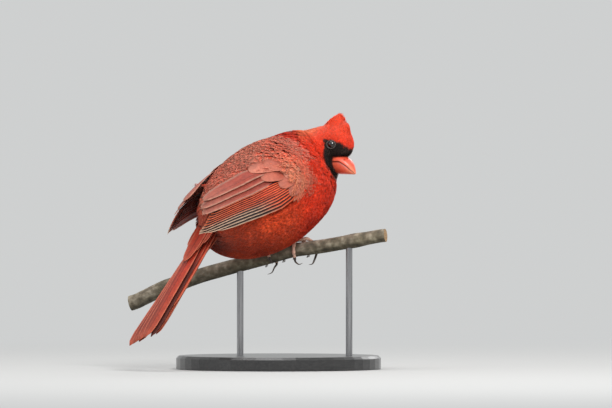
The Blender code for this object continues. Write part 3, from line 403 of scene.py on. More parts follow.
def noise_node(tree, scale, detail=3.0, stretch=None):
    """Noise in object space, with an optional stretch along the axes."""
    spot = node(tree, "TexCoord").outputs["Object"]
    if stretch is not None:
        spot = node(tree, "Mapping", {"Vector": spot, "Scale": stretch}).outputs["Vector"]
    return node(tree, "TexNoise", {"Scale": scale, "Detail": detail, "Vector": spot}).outputs["Fac"]


def ramp(tree, factor, stops):
    made = node(tree, "ValToRGB", {"Fac": factor})
    elements = made.color_ramp.elements
    while len(elements) < len(stops):
        elements.new(0.5)
    for element, (position, colour) in zip(elements, stops):
        element.position = position
        element.color = (*colour, 1.0)
    return made.outputs["Color"]


def product(tree, first, second):
    """Two colours multiplied; the numbers are the Mix node's sockets for colours."""
    factor, colour_a, colour_b, result = 0, 6, 7, 2
    inputs = {factor: 1.0, colour_a: first, colour_b: second}
    return node(tree, "Mix", inputs, data_type="RGBA", blend_type="MULTIPLY").outputs[result]


def tint_of(tree):
    return node(tree, "Attribute", attribute_name="Tint").outputs["Color"]


def dress(tree, colour, height, strength, distance):
    """Gives the shader its colour, and the bump that a height makes; the distance is in metres."""
    shader = tree.nodes["Principled BSDF"]
    relief = node(tree, "Bump", {"Strength": strength, "Distance": distance, "Height": height})
    tree.links.new(colour, shader.inputs["Base Color"])
    tree.links.new(relief.outputs["Normal"], shader.inputs["Normal"])


def grain_material(name, settings, grain, dark, light, strength, distance):
    """Colour and relief that follow one noise; grain is its scale, detail and stretch."""
    made, tree = new_material(name, settings)
    height = noise_node(tree, *grain)
    dress(tree, ramp(tree, height, [(0.3, dark), (0.7, light)]), height, strength, distance)
    return made


def coat_material(name, sheen, fine):
    """Feather material: the tint of each tuft, broken by fine streaks."""
    made, tree = new_material(name, {
        "Roughness": 0.62, "Specular IOR Level": 0.25,
        "Sheen Weight": sheen, "Sheen Roughness": 0.4, "Sheen Tint": (1.0, 0.62, 0.5, 1.0),
    })
    streaks = noise_node(tree, fine, 2.0)
    shade = ramp(tree, streaks, [(0.25, (0.73, 0.72, 0.60)), (0.75, (1.23, 1.22, 1.02))])
    dress(tree, product(tree, tint_of(tree), shade), streaks, 0.25, 0.0002)
    return made


def vane_material(name):
    """Flight feather material: the tint of each web, with slanting barbs."""
    made, tree = new_material(name, {
        "Roughness": 0.5, "Specular IOR Level": 0.25,
        "Sheen Weight": 0.05, "Sheen Tint": (1.0, 0.75, 0.68, 1.0),
    })
    on_vane = node(tree, "UVMap", uv_map="Vane").outputs["UV"]
    place_in = node(tree, "SeparateXYZ", {0: on_vane}).outputs
    across = maths(tree, "MULTIPLY", maths(tree, "ABSOLUTE", place_in["X"]), 9.0)
    along = maths(tree, "MULTIPLY", place_in["Y"], 14.0)
    barbs = maths(tree, "SINE", maths(tree, "ADD", across, along))
    blotch = noise_node(tree, 420.0, 4.0)
    shade = ramp(tree, blotch, [(0.3, (0.82, 0.82, 0.74)), (0.7, (1.18, 1.2, 1.06))])
    half_barbs = maths(tree, "MULTIPLY_ADD", barbs, 0.5, 0.5)
    lines = ramp(tree, half_barbs, [(0.0, (0.9, 0.9, 0.9)), (1.0, (1.06, 1.06, 1.06))])
    colour = product(tree, product(tree, tint_of(tree), shade), lines)
    height = maths(tree, "ADD", barbs, maths(tree, "MULTIPLY", blotch, 1.5))
    dress(tree, colour, height, 0.35, 0.00006)
    return made


def leg_material():
    """Tan horny skin: pale scutes with darker seams."""
    made, tree = new_material("leg_skin", {"Roughness": 0.55})
    spot = node(tree, "TexCoord").outputs["Object"]
    cells = node(tree, "TexVoronoi", {"Scale": 1500.0, "Vector": spot}, feature="DISTANCE_TO_EDGE")
    from_seam = cells.outputs["Distance"]
    blotch = noise_node(tree, 300.0)
    skin = ramp(tree, blotch, [(0.3, srgb(196, 148, 128)), (0.7, srgb(232, 192, 170))])
    seams = ramp(tree, from_seam, [(0.0, (0.6, 0.55, 0.52)), (0.12, (1.0, 1.0, 1.0))])
    dress(tree, product(tree, skin, seams), from_seam, 0.5, 0.0002)
    return made


def bill_material():
    """Coral horn: the bill's own tint under a waxy surface."""
    made, tree = new_material("bill_horn", {
        "Roughness": 0.36, "Subsurface Weight": 0.12, "Subsurface Radius": (0.0012, 0.0005, 0.0004),
        "Coat Weight": 0.25, "Coat Roughness": 0.25,
    })
    grain = noise_node(tree, 700.0)
    streak = ramp(tree, grain, [(0.3, (0.86, 0.84, 0.84)), (0.7, (1.1, 1.1, 1.1))])
    dress(tree, product(tree, tint_of(tree), streak), grain, 0.15, 0.0001)
    return made


def eye_material():
    """A dark brown iris and black pupil with a wet surface."""
    made, tree = new_material("eye_wet", {"Roughness": 0.06, "Coat Weight": 0.6, "Coat Roughness": 0.03})
    tree.links.new(tint_of(tree), tree.nodes["Principled BSDF"].inputs["Base Color"])
    return made


def bark_material():
    """Cracked grey bark with pale patches, darker where its tint says: the tint holds painted light on the
    perch's top and painted shade below.
    """
    made, tree = new_material("bark", {"Roughness": 0.9})
    cracks = noise_node(tree, 260.0, 6.0)
    patches = noise_node(tree, 60.0, 4.0)
    dark, middle, light = srgb(76, 69, 58), srgb(107, 98, 83), srgb(150, 141, 126)
    bark = ramp(tree, cracks, [(0.3, dark), (0.5, middle), (0.72, light)])
    plain, green, pale = (1.0, 1.0, 1.0), (0.92, 0.93, 0.86), (1.16, 1.14, 1.16)
    lichen = ramp(tree, patches, [(0.42, plain), (0.6, green), (0.72, pale)])
    dress(tree, product(tree, product(tree, bark, lichen), tint_of(tree)), cracks, 0.6, 0.0005)
    return made


def cut_material():
    """Sawn wood with growth rings."""
    made, tree = new_material("cut_wood", {"Roughness": 0.75})
    spot = node(tree, "TexCoord").outputs["Generated"]
    rings = node(
        tree, "TexWave", {"Scale": 6.0, "Distortion": 3.0, "Vector": spot},
        wave_type="RINGS", rings_direction="SPHERICAL",
    )
    half_rings = maths(tree, "MULTIPLY", rings.outputs["Fac"], 0.5)
    half_grain = maths(tree, "MULTIPLY", noise_node(tree, 900.0), 0.5)
    both = maths(tree, "ADD", half_rings, half_grain)
    dress(tree, ramp(tree, both, [(0.2, srgb(120, 88, 56)), (0.8, srgb(196, 160, 116))]), both, 0.3, 0.0002)
    return made


COAT = coat_material("coat_feathers", 0.22, 900.0)
SKIN = coat_material("skin_under_coat", 0.1, 500.0)
VANE = vane_material("flight_vanes")
LEG_SKIN = leg_material()
BILL_HORN = bill_material()
EYE_WET = eye_material()
CLAW_HORN = grain_material(
    "claw_horn", {"Roughness": 0.35, "Coat Weight": 0.3, "Coat Roughness": 0.3},
    (600.0, 4.0, (1.0, 1.0, 0.3)), srgb(38, 28, 24), srgb(86, 66, 54), 0.2, 0.0001,
)
LID_SKIN = grain_material(
    "lid_skin", {"Roughness": 0.5}, (1800.0,), srgb(52, 46, 44), srgb(104, 94, 88), 0.4, 0.0001,
)
LACQUER = grain_material(
    "stand_lacquer", {"Roughness": 0.32, "Coat Weight": 0.4, "Coat Roughness": 0.2},
    (90.0, 6.0, (1.0, 9.0, 9.0)), (0.010, 0.010, 0.011), (0.030, 0.029, 0.029), 0.12, 0.0003,
)
BRUSHED_METAL = grain_material(
    "rod_brushed", {"Roughness": 0.34, "Metallic": 0.95},
    (500.0, 4.0, (1.0, 1.0, 0.05)), (0.22, 0.22, 0.23), (0.42, 0.42, 0.43), 0.15, 0.0001,
)


# mesh pieces
def place(points):
    return (np.asarray(points, float) + SHIFT) * MM


def add_object(name, data):
    made = bpy.data.objects.new(name, data)
    bpy.context.scene.collection.objects.link(made)
    return made


def add_piece(name, points, faces, material, slot, replaces=(), tint=None, uvs=None):
    """One mesh object in the row frame; uvs maps a UV map's name to a value for each point."""
    mesh = bpy.data.meshes.new(name)
    mesh.from_pydata(place(points), [], faces)
    mesh.update()
    mesh.polygons.foreach_set("use_smooth", np.full(len(mesh.polygons), True))
    if tint is not None:
        layer = mesh.color_attributes.new("Tint", "FLOAT_COLOR", "POINT")
        values = np.ones((len(mesh.vertices), 4), np.float32)
        values[:, :3] = tint
        layer.data.foreach_set("color", values.ravel())
    corner = np.zeros(len(mesh.loops), np.int32)
    mesh.loops.foreach_get("vertex_index", corner)
    for map_name, value in (uvs or {}).items():
        layer = mesh.uv_layers.new(name=map_name)
        layer.data.foreach_set("uv", np.asarray(value, np.float32)[corner].ravel())
    mesh.materials.append(material)
    made = add_object(name, mesh)
    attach(made, "root")
    if replaces:
        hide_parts(*replaces)


def circle(count):
    """Angles all the way round."""
    return 2.0 * math.pi * np.arange(count) / count


def spokes(angles, first, second):
    """Directions at the given angles, turned from the first axis towards the second."""
    return np.asarray(np.cos(angles))[..., None] * first + np.asarray(np.sin(angles))[..., None] * second


def grid_faces(rows, columns, start=0, wrap=False):
    faces = []
    for i in range(rows - 1):
        for j in range(columns if wrap else columns - 1):
            k = (j + 1) % columns
            a = start + i * columns
            b = a + columns
            faces.append((a + j, a + k, b + k, b + j))
    return faces


def tube_faces(rings, around):
    """Faces of a tube with two flat ends."""
    faces = grid_faces(rings, around, wrap=True)
    faces.append(tuple(reversed(range(around))))
    faces.append(tuple((rings - 1) * around + j for j in range(around)))
    return faces


def flipped(faces):
    return [tuple(reversed(face)) for face in faces]


def joined(parts):
    """Several sets of points and faces as one."""
    all_points, all_faces, count = [], [], 0
    for points, faces in parts:
        all_points.append(points)
        all_faces += [tuple(count + k for k in face) for face in faces]
        count += len(points)
    return np.concatenate(all_points), all_faces


# skin: the masses remeshed as one surface and drawn onto the level under the coat
SKIN_VOXEL = 0.0011
MASS_RINGS = 24
MASS_AROUND = 36
POLE_HOLE = 1e-3


def mass_surface(centre, axes, reach):
    """One rounded mass as a tube that all but closes at its poles."""
    front, back, side, up = reach
    t = math.pi * np.arange(MASS_RINGS + 1)[:, None] / MASS_RINGS
    f = circle(MASS_AROUND)
    ahead = np.cos(t) * np.where(np.cos(t) > 0.0, front, back)
    lateral = side * np.sin(t) * np.cos(f) + POLE_HOLE * np.cos(f)
    rise = up * np.sin(t) * np.sin(f) + POLE_HOLE * np.sin(f)
    local = np.stack(np.broadcast_arrays(ahead, lateral, rise), axis=-1)
    return centre + local.reshape(-1, 3) @ axes, tube_faces(MASS_RINGS + 1, MASS_AROUND)


def build_skin():
    """The skin's points and faces."""
    points, faces = joined(mass_surface(*mass[:3]) for mass in MASSES)
    mesh = bpy.data.meshes.new("skin_seed")
    mesh.from_pydata(place(points), [], faces)
    seed = add_object("skin_seed", mesh)
    step = seed.modifiers.new("one", "REMESH")
    step.mode = "VOXEL"
    step.voxel_size = SKIN_VOXEL
    graph = bpy.context.evaluated_depsgraph_get()
    whole = bpy.data.meshes.new_from_object(seed.evaluated_get(graph))
    bpy.data.objects.remove(seed, do_unlink=True)
    found = np.zeros(len(whole.vertices) * 3)
    whole.vertices.foreach_get("co", found)
    found = found.reshape(-1, 3) / MM - SHIFT
    quads = [tuple(p.vertices) for p in whole.polygons]
    return settle(coat_field, found, -coat_depth(found), rounds=6), quads


def faces_out(points, quads):
    """True where the faces turn outwards, told from the volume's sign."""
    a, b, c = (points[[q[k] for q in quads]] for k in range(3))
    return (a * np.cross(b, c)).sum() > 0.0


skin_points, skin_quads = build_skin()
if not faces_out(skin_points, skin_quads):
    skin_quads = flipped(skin_quads)
skin_normals = unit(gradient(coat_field, skin_points)[1])
# painted shade: the skin under the coat is painted darker than the tufts, for the shade in the gaps between
# them
skin_tint_with_painted_shade = plumage_colour(skin_points, skin_normals) * 0.8
add_piece("skin", skin_points, skin_quads, SKIN, "plumage_red", ("torso", "neck", "head"), skin_tint_with_painted_shade)


# where tufts stand: points spread over the skin, their spacing set by the place
TUFT_TRIES = 100000


def face_share(points):
    """1 beside the eye and the bill, 0 elsewhere."""
    near = from_bill(points, -4.0, 4.0, 6.2)
    for eye in EYES:
        near = np.minimum(near, np.linalg.norm(points - eye, axis=1) - 3.0)
    return 1.0 - smoothstep(near, 0.6, 6.0)


def tuft_spacing(points):
    head = head_share(points)
    _, theta, _ = on_barrel(points)
    spacing = 1.5 + 0.8 * smoothstep(theta, 28.0, 40.0) * (1.0 - smoothstep(head, 0.0, 0.2))
    spacing = spacing - 0.3 * smoothstep(head, 0.0, 0.4) - 0.45 * smoothstep(head, 0.3, 0.95)
    return spacing - 0.12 * face_share(points)


def spread_points(count, seed):
    """Random places on the skin, thinned to the wanted spacing."""
    rng = np.random.default_rng(seed)
    quads = np.array([q for q in skin_quads if len(q) == 4])
    a, b, c, d = (skin_points[quads[:, k]] for k in range(4))
    area = np.linalg.norm(np.cross(c - a, d - b), axis=1)
    chance = area / tuft_spacing((a + c) * 0.5) ** 2
    chosen = rng.choice(len(quads), size=count, p=chance / chance.sum())
    u, v = rng.random(count)[:, None], rng.random(count)[:, None]
    spots = (1 - u) * ((1 - v) * a[chosen] + v * d[chosen]) + u * ((1 - v) * b[chosen] + v * c[chosen])
    gaps = tuft_spacing(spots)
    tree = kdtree.KDTree(count)
    for i, spot in enumerate(spots):
        tree.insert(Vector(spot), i)
    tree.balance()
    gone = np.zeros(count, bool)
    kept = []
    for i in range(count):
        if gone[i]:
            continue
        kept.append(i)
        for _, j, _ in tree.find_range(Vector(spots[i]), float(gaps[i])):
            gone[j] = True
    return spots[kept]


def flow(points, normals):
    """The way the feathers lie, away from the bill, over the crown and back along the body."""
    head = smoothstep(head_share(points), 0.1, 0.8)[:, None]
    off_bill = unit(points - in_bill(4.0, 0.0, 1.0)) - 0.25 * HEAD_AXES[0]
    off_neck = unit(points - NECK_CENTRE - np.array([4.0, -3.0, 6.0]))
    local = from_head(points)
    way = head * off_bill + (1.0 - head) * (0.55 * off_neck + 0.85 * BACKWARD)
    crest = smoothstep(local[:, 2], 6.0, 12.0) * smoothstep(local[:, 0], -8.0, -2.0) * head[:, 0]
    way = way + 1.6 * crest[:, None] * unit(CREST_TIP + 3.0 * HEAD_AXES[2] - points)
    return unit(way - (way * normals).sum(axis=1)[:, None] * normals)


def push_out(points, offset, gap, where=True):
    """Moves points along their offsets until they are a gap away."""
    radius = np.linalg.norm(offset, axis=1)
    inside = (radius < gap) & where
    points[inside] += ((gap - radius[inside]) / (radius[inside] + 1e-6))[:, None] * offset[inside]


def clear_of_eyes_and_perch(points):
    points = points.copy()
    for eye, out in zip(EYES, EYE_OUTS):
        offset = points - eye
        ahead = offset @ out
        push_out(points, offset - ahead[:, None] * out, TIP_EYE_GAP, ahead > 0.0)
    push_out(points, from_perch(points), PERCH_RADIUS + TIP_PERCH_GAP)
    return points


# feather tufts
ZONES = {"head": (HEAD_CENTRE, HEAD_AXES, "head_red"), "body": (BODY_CENTRE, BODY_AXES, "plumage_red")}
# shares of a blade's half width along its length, by its number of segments
BLADE_PROFILES = {2: (0.9, 0.8), 3: (0.75, 1.0, 0.72)}
# a tuft's own patch of the unwrap: half its width, and its length
BAKE_PATCH = (0.0013, 0.003)


def bake_spot(points, centre, axes):
    """A place on the skin's own unwrap, an equal-area one round the given axes."""
    way = unit(points - centre) @ axes.T
    turn = 0.5 + np.arctan2(way[:, 1], way[:, 2]) / (2.0 * math.pi)
    return np.stack([turn, 0.5 + 0.5 * way[:, 0]], axis=1) * 0.98 + 0.01


def blade_faces(segments):
    """Faces of one three-sided blade, closed at its root and pointed at its tip: quads, then triangles."""
    quads = []
    for s in range(segments - 1):
        a = 3 * s
        b = a + 3
        quads += [(a, a + 1, b + 1, b), (a + 1, a + 2, b + 2, b + 1), (a + 2, a, b, b + 2)]
    last = 3 * (segments - 1)
    tip = last + 3
    return quads, [(last, last + 1, tip), (last + 1, last + 2, tip), (last + 2, last, tip), (0, 2, 1)]


def blade_points(lines, normals, half):
    """Three edges round each blade's middle line, and its tip."""
    n, count, stations, _ = lines.shape
    heading = unit(np.gradient(lines, axis=2))
    lateral = unit(np.cross(np.broadcast_to(normals[:, None, None, :], heading.shape), heading))
    upward = np.cross(heading, lateral)
    body, lateral, upward = (v[:, :, :-1] for v in (lines, lateral, upward))
    edges = [body - half * lateral, body + half * lateral, body + 0.35 * half * upward]
    shell = np.stack(edges, axis=3).reshape(n * count, 3 * (stations - 1), 3)
    tip = lines[:, :, -1].reshape(n * count, 1, 3)
    return np.concatenate([shell, tip], axis=1).reshape(-1, 3)


def blades(name, roots, normals, ways, lengths, widths, count, tips, colours, field=coat_field, seed=1,
           segments=3, round_end=0.3, thin=1.5, zone="body", jitter=0.14, rim=None):
    """Feather tufts: each a fan of closed, thin, tapered blades that follows the coat's own surface.

    colours is (n, 3, 3): the tint at root, middle and tip of each tuft."""
    rng = np.random.default_rng(seed)
    n = len(roots)
    stations = 1.0 - (1.0 - np.linspace(0.0, 1.0, segments + 1)) ** 1.25
    x = np.linspace(-1.0, 1.0, count)[None, :] + rng.normal(0.0, 0.5 / count, (n, count))
    reach = (1.0 - round_end * x ** 2) * (1.0 + rng.normal(0.0, 0.06, (n, count)))
    yaw = rng.normal(0.0, jitter, n)
    ways = unit(ways + np.tan(yaw)[:, None] * np.cross(normals, ways))
    sides = unit(np.cross(normals, ways))
    lift = rng.normal(0.0, 0.05, (n, count)) + rng.normal(0.0, 0.05, (n, 1))
    sunk = coat_depth(roots)
    rings = []
    for t in stations:
        along = (lengths[:, None] * reach * t)[..., None]
        across = (0.5 * widths[:, None] * x * (0.42 + 0.58 * t ** 0.7))[..., None]
        spots = roots[:, None] + along * ways[:, None] + across * sides[:, None]
        level = -sunk[:, None] * (1.0 - t) ** 1.4 + (tips[:, None] + lift) * t ** 1.5
        rings.append(settle(field, spots.reshape(-1, 3), level.reshape(-1)).reshape(n, count, 3))
    lines = np.stack(rings, axis=2)
    lines = clear_of_eyes_and_perch(lines.reshape(-1, 3)).reshape(lines.shape)
    half = (widths / count * 0.5 * thin)[:, None, None] * BLADE_PROFILES[segments]
    half = half * (1.0 + rng.normal(0.0, 0.12, (n, count, 1)))
    points = blade_points(lines, normals, half[..., None])
    per = 3 * segments + 1
    base = per * np.arange(n * count)[:, None, None]
    faces = []
    for kind in blade_faces(segments):
        faces += (base + np.array(kind)).reshape(-1, len(kind[0])).tolist()
    part = np.concatenate([np.repeat(stations[:segments], 3), [1.0]])
    first = np.clip(1.0 - 1.6 * part, 0.0, 1.0)
    final = np.clip((part - 0.6) / 0.4, 0.0, 1.0)
    weights = np.stack([first, 1.0 - first - final, final], axis=1)
    tint = np.einsum("pk,nkc->npc", weights, colours)[:, None]
    if rim is not None:
        edge = np.clip((np.abs(x) - 0.55) / 0.45, 0.0, 1.0)[:, :, None] * part
        tint = mix(tint, rim[:, None, None, :], edge)
    tint = tint * np.exp(rng.normal(0.0, 0.05, (n, count, 1, 1)) + rng.normal(0.0, 0.05, (n, 1, 1, 1)))
    centre, axes, slot = ZONES[zone]
    spot = bake_spot(roots, centre, axes)
    patch = np.zeros((n, count, per, 2))
    patch[..., 0] = spot[:, None, None, 0] + BAKE_PATCH[0] * np.clip(x, -1.1, 1.1)[:, :, None]
    patch[..., 1] = spot[:, None, None, 1] + BAKE_PATCH[1] * (part - 0.5)
    add_piece(name, points, faces, COAT, slot, tint=tint.reshape(-1, 3), uvs={"OFBake": patch.reshape(-1, 2)})


def near_noise(points, size, channel=0.0):
    return np.array([noise.noise(Vector(p / size) + Vector((channel, 0.0, 0.0))) for p in points])


roots = spread_points(TUFT_TRIES, SEED)
normals = unit(gradient(coat_field, roots)[1])
a, theta, _ = on_barrel(roots)
outside = outside_wing(a, theta)
beside_eye = np.min([np.linalg.norm(roots - eye, axis=1) for eye in EYES], axis=0)
under_bill = from_bill(roots, -6.5, 6.0, 5.9) < 0.0
on_coat = (outside > -1.5) | ((a < -2.5) & (outside > -12.0))
keep = on_coat & (beside_eye > ROOT_EYE_GAP) & ~under_bill
roots, normals, a, theta, outside = (values[keep] for values in (roots, normals, a, theta, outside))
head = head_share(roots)
face = face_share(roots)
ways = flow(roots, normals)
clump = near_noise(roots, 4.5)
patches = near_noise(roots, 13.0, 40.0)
sway = near_noise(roots, 6.0, 80.0)
streaks = near_noise(roots - 0.8 * (roots @ BACKWARD)[:, None] * BACKWARD, 2.4, 120.0)
on_back = smoothstep(theta, 26.0, 40.0)
drift = (0.45 * patches + (0.5 - 0.25 * on_back) * streaks) * (1.0 - 0.7 * head)
base_tint = plumage_colour(roots, normals) * np.exp(drift[:, None] * np.array([0.85, 1.2, 1.05]))
tips = 0.2 + 0.2 * clump * (1.0 - head)
ways = unit(ways + (0.7 * sway * (1.0 - head))[:, None] * np.cross(normals, ways))
# feathers before and above the wing lie over its edge
front = (a < 1.5 - 4.0 * smoothstep(theta, 14.0, 30.0)) & (theta > 2.0)
beside = (a > -6.0) & (a < 44.0) & (theta > 46.0) & (outside > -1.0) & (outside < 4.5)
over_wing = (outside > -12.0) & (a > -21.0) & ((front & (theta < 72.0)) | beside)
outward = -np.sign(roots[:, 1])[:, None] * LEFTWARD
ways = np.where((over_wing & (theta > 40.0))[:, None], unit(ways - 0.4 * outward), ways)


# a tuft's tint at root, middle and tip; a darker root is painted shade near the skin, and a lighter tip
# painted light
def shades(tint, root, middle, tip):
    return np.stack([tint * root, tint * middle, tint * tip], axis=1)


def coat(name, pick, length, width, count, tint, **options):
    """The tufts at the picked roots as one piece; length and width are numbers or one for each root."""
    length, width = (np.broadcast_to(size, len(roots))[pick] for size in (length, width))
    stand = roots[pick], normals[pick], ways[pick]
    blades(name, *stand, length, width, count, tips[pick], tint[pick], **options)


# face and head: short fine tufts
in_face = head > 0.62
on_right = roots @ HEAD_AXES[1] < HEAD_CENTRE @ HEAD_AXES[1]
for number, group in enumerate((in_face & on_right, in_face & ~on_right), 1):
    coat("coat_head_" + str(number), group, 3.4 - 1.9 * face, 1.7 - 0.7 * face, 6,
         shades(base_tint, 0.82, 1.0, 1.08), seed=SEED + number, segments=2, zone="head", jitter=0.1)

# neck
in_neck = (head <= 0.62) & (head > 0.12) & ~over_wing
coat("coat_neck", in_neck, 7.5 - 4.0 * head, 4.0 - 2.0 * head, 8,
     shades(base_tint, 0.8, 1.0, 1.1), seed=SEED + 4)

# mantle and scapulars: broader feathers with grey fringes
broad = {"round_end": 0.4, "thin": 1.8, "jitter": 0.1}
mantle = (head <= 0.12) & (theta > 34.0) & (a > -30.0) & (a < 42.0) & ~over_wing & (outside > -1.0)
fringe = mix(base_tint, MANTLE_GREY, 0.7)
tint = np.stack([base_tint, base_tint * 1.08, fringe], axis=1)
coat("coat_mantle", mantle, 10.0, 7.6, 14, tint, seed=SEED + 5, rim=fringe[mantle], **broad)
grey = mix(base_tint, np.where((theta > 40.0)[:, None], MANTLE_GREY, ROSE_GREY), 0.55)
tint = np.stack([base_tint * 0.98, base_tint * 1.1, grey], axis=1)
coat("coat_shoulder", over_wing, 8.5 - 2.0 * (outside > 0.0), 6.4, 12, tint,
     seed=SEED + 6, rim=grey[over_wing], field=cover_field, **broad)

# breast, belly, flanks and rump, in quarters
rest = ~in_face & ~in_neck & ~mantle & ~over_wing
right_half = roots[:, 1] < 0.0
front_half = a < 6.0
# painted light and shade: tufts that the clump noise raises are lighter, and those in its furrows darker
tint = shades(base_tint * np.exp(0.1 * clump)[:, None], 0.88, 1.0, 1.08)
quarters = [across & along for across in (right_half, ~right_half) for along in (front_half, ~front_half)]
for number, quarter in enumerate(quarters, 1):
    coat("coat_body_" + str(number), rest & quarter, 10.0 + 2.5 * smoothstep(a, 10.0, 45.0), 5.0, 10, tint,
         seed=SEED + 8 + number)


# crest: long feathers that meet in a point
def build_crest():
    rng = np.random.default_rng(SEED + 30)
    count = 260
    x = rng.uniform(-9.0, 5.5, count)
    y = rng.uniform(-3.2, 3.2, count)
    z = 9.0 + rng.uniform(0.0, 9.0, count)
    spots = HEAD_CENTRE + np.stack([x, y, z], axis=1) @ HEAD_AXES
    spots = settle(coat_field, spots, -0.5, rounds=5)
    normal = unit(gradient(coat_field, spots)[1])
    height = from_head(spots)[:, 2]
    way = unit(CREST_TIP - spots + 0.35 * normal)
    way = unit(way - 0.9 * (way * normal).sum(axis=1)[:, None] * normal)
    to_tip = np.linalg.norm(CREST_TIP - spots, axis=1)
    long = np.minimum(to_tip * rng.uniform(0.7, 1.0, count), 6.5 + 2.5 * rng.random(count))
    lift = 0.2 + (0.4 + 1.0 * smoothstep(height, 10.0, 17.0)) * rng.random(count)
    blades(
        "coat_crest", spots, normal, way, long, np.full(count, 1.7), 7, lift,
        shades(plumage_colour(spots, normal), 0.72, 1.0, 1.1), seed=SEED + 31, zone="head", jitter=0.06,
        field=body_field, round_end=0.45,
    )


# vanes: thin closed feathers of the wings and tail
def closed_sheet(top, bottom):
    """Points and faces of a closed thin vane from two grids."""
    rows, columns = top.shape[:2]
    half = rows * columns
    points = np.concatenate([top.reshape(-1, 3), bottom.reshape(-1, 3)])
    faces = grid_faces(rows, columns) + flipped(grid_faces(rows, columns, half))
    index = np.arange(half).reshape(rows, columns)
    rim = np.concatenate([index[0], index[1:, -1], index[-1, -2::-1], index[-2:0:-1, 0]]).tolist()
    for first, second in zip(rim, rim[1:] + rim[:1]):
        faces.append((first, half + first, half + second, second))
    return points, faces


def vane(top, thick, out, tint, along, across, under):
    """One vane: its points and faces, its tints, and the places across and along it."""
    sheet = closed_sheet(top, top - np.asarray(thick)[..., None] * out)
    tints = np.concatenate([tint.reshape(-1, 3), mix(tint, under, 0.6).reshape(-1, 3)])
    where = np.stack(np.broadcast_arrays(across, along), axis=-1).reshape(-1, 2)
    return sheet, tints, np.tile(where, (2, 1))


def add_vanes(name, vanes, slot, replaces=()):
    """Joins vanes into one piece."""
    sheets, tints, places = zip(*vanes)
    uvs = {"Vane": np.concatenate(places)}
    add_piece(name, *joined(sheets), VANE, slot, replaces, np.concatenate(tints), uvs)


def tip_shape(part, start):
    """Width along a feather: full, then rounded to its tip."""
    t = np.clip((part - start) / (1.0 - start), 0.0, 1.0)
    return np.sqrt(np.maximum(1.0 - t ** 2, 0.0))


def value_at(setting, places):
    """A setting at each place: it is a number or a function."""
    return np.broadcast_to(setting(places) if callable(setting) else setting, places.shape)


# folded wings
EDGE_CREAM = srgb(214, 180, 160)
EDGE_ROSE = srgb(226, 104, 62)
WEB_RED = srgb(202, 52, 28)
WEB_ROSE = srgb(156, 54, 32)
WEB_BROWN = srgb(74, 36, 32)
# the flight feathers' dark inner webs, also used as painted shadow under the next feather up
WEB_DARK_AND_SHADOW = srgb(26, 12, 10)
TERTIAL_ROSE = srgb(148, 58, 46)
TERTIAL_GREY = srgb(170, 118, 106)
COVERT_ROSE = srgb(170, 76, 60)
COVERT_PALE = srgb(200, 126, 110)
UNDER_WING = srgb(150, 62, 50)
# painted light: the tertials' undersides are lighter than their tops, so that in shade they look lit
UNDER_TERTIAL_PAINTED_LIGHT = srgb(214, 104, 84)
# where the flight feathers' edges lie, as shares of the way up from the wing's lower edge
FLIGHTS = (0.0, 0.12, 0.24, 0.35, 0.45, 0.54, 0.62, 0.7, 0.78, 0.86, 0.94)
# flight feather's number, then its end
FLIGHT_TIPS = ([0, 1, 2, 3, 4, 6, 8, 10], [60.0, 66.0, 69.0, 68.0, 66.0, 62.0, 58.5, 54.0])
# end, how far up its edge lies, and width
TERTIALS = ((60.0, 0.0, 8.5), (57.5, 8.5, 9.5), (52.5, 17.0, 11.0))
# number, length, how far short of the coverts' ends, and level at root and tip
COVERT_TIERS = ((4, 22.0, -1.5, -1.5, 0.5), (3, 18.0, 8.0, -1.7, 0.9))
# places across a wing feather, closest round its shaft
WEB_COLUMNS = np.array([[0.0, 0.06, 0.14, 0.22, 0.28, 0.31, 0.34, 0.5, 0.75, 1.0]])
SHAFT = 0.3


def wing_feather(side, start, end, edge, width, level, lean, tint_of_place, rng, rows=22, tip_start=0.8,
                 camber=0.2, under=UNDER_WING):
    """One feather of the folded wing: b runs up from its lower edge, which lies over the next one down."""
    full = WEB_COLUMNS
    part = np.linspace(0.0, 1.0, rows) ** 0.9
    a = start + (end - start) * part
    wide = value_at(width, a)
    share = np.maximum((0.75 + 0.25 * smoothstep(part, 0.0, 0.35)) * tip_shape(part, tip_start), 0.02)
    shift = (0.4 * wide * (1.0 - share) * (part > 0.3))[:, None]
    b = shift + (wide * share)[:, None] * full
    b[:, 0] += 0.06 * rng.normal(size=rows) * (part > 0.1)
    lift = value_at(level, part)[:, None] - value_at(lean, a)[:, None] * b
    lift = lift + camber * np.sin(math.pi * full) * share[:, None]
    part = part[:, None]
    ridge = 0.1 * np.exp(-((full - SHAFT - 0.01) / 0.02) ** 2) * (1.0 - part)
    up = edge(a)[:, None] + b * (180.0 / math.pi / barrel(a))[:, None]
    top = wing_point(side, a[:, None], up, lift + ridge)
    out = unit(top - BODY_CENTRE - ((top - BODY_CENTRE) @ BACKWARD)[..., None] * BACKWARD)
    thick = 0.16 + 0.06 * np.sin(math.pi * full)
    return vane(top, thick, out, tint_of_place(part, b - shift, full), a[:, None], full - SHAFT, under)


def covert_end(edge):
    """Where the coverts' row ends at a feather's lower edge."""
    return np.interp(edge(10.0), *COVERT_TIPS)


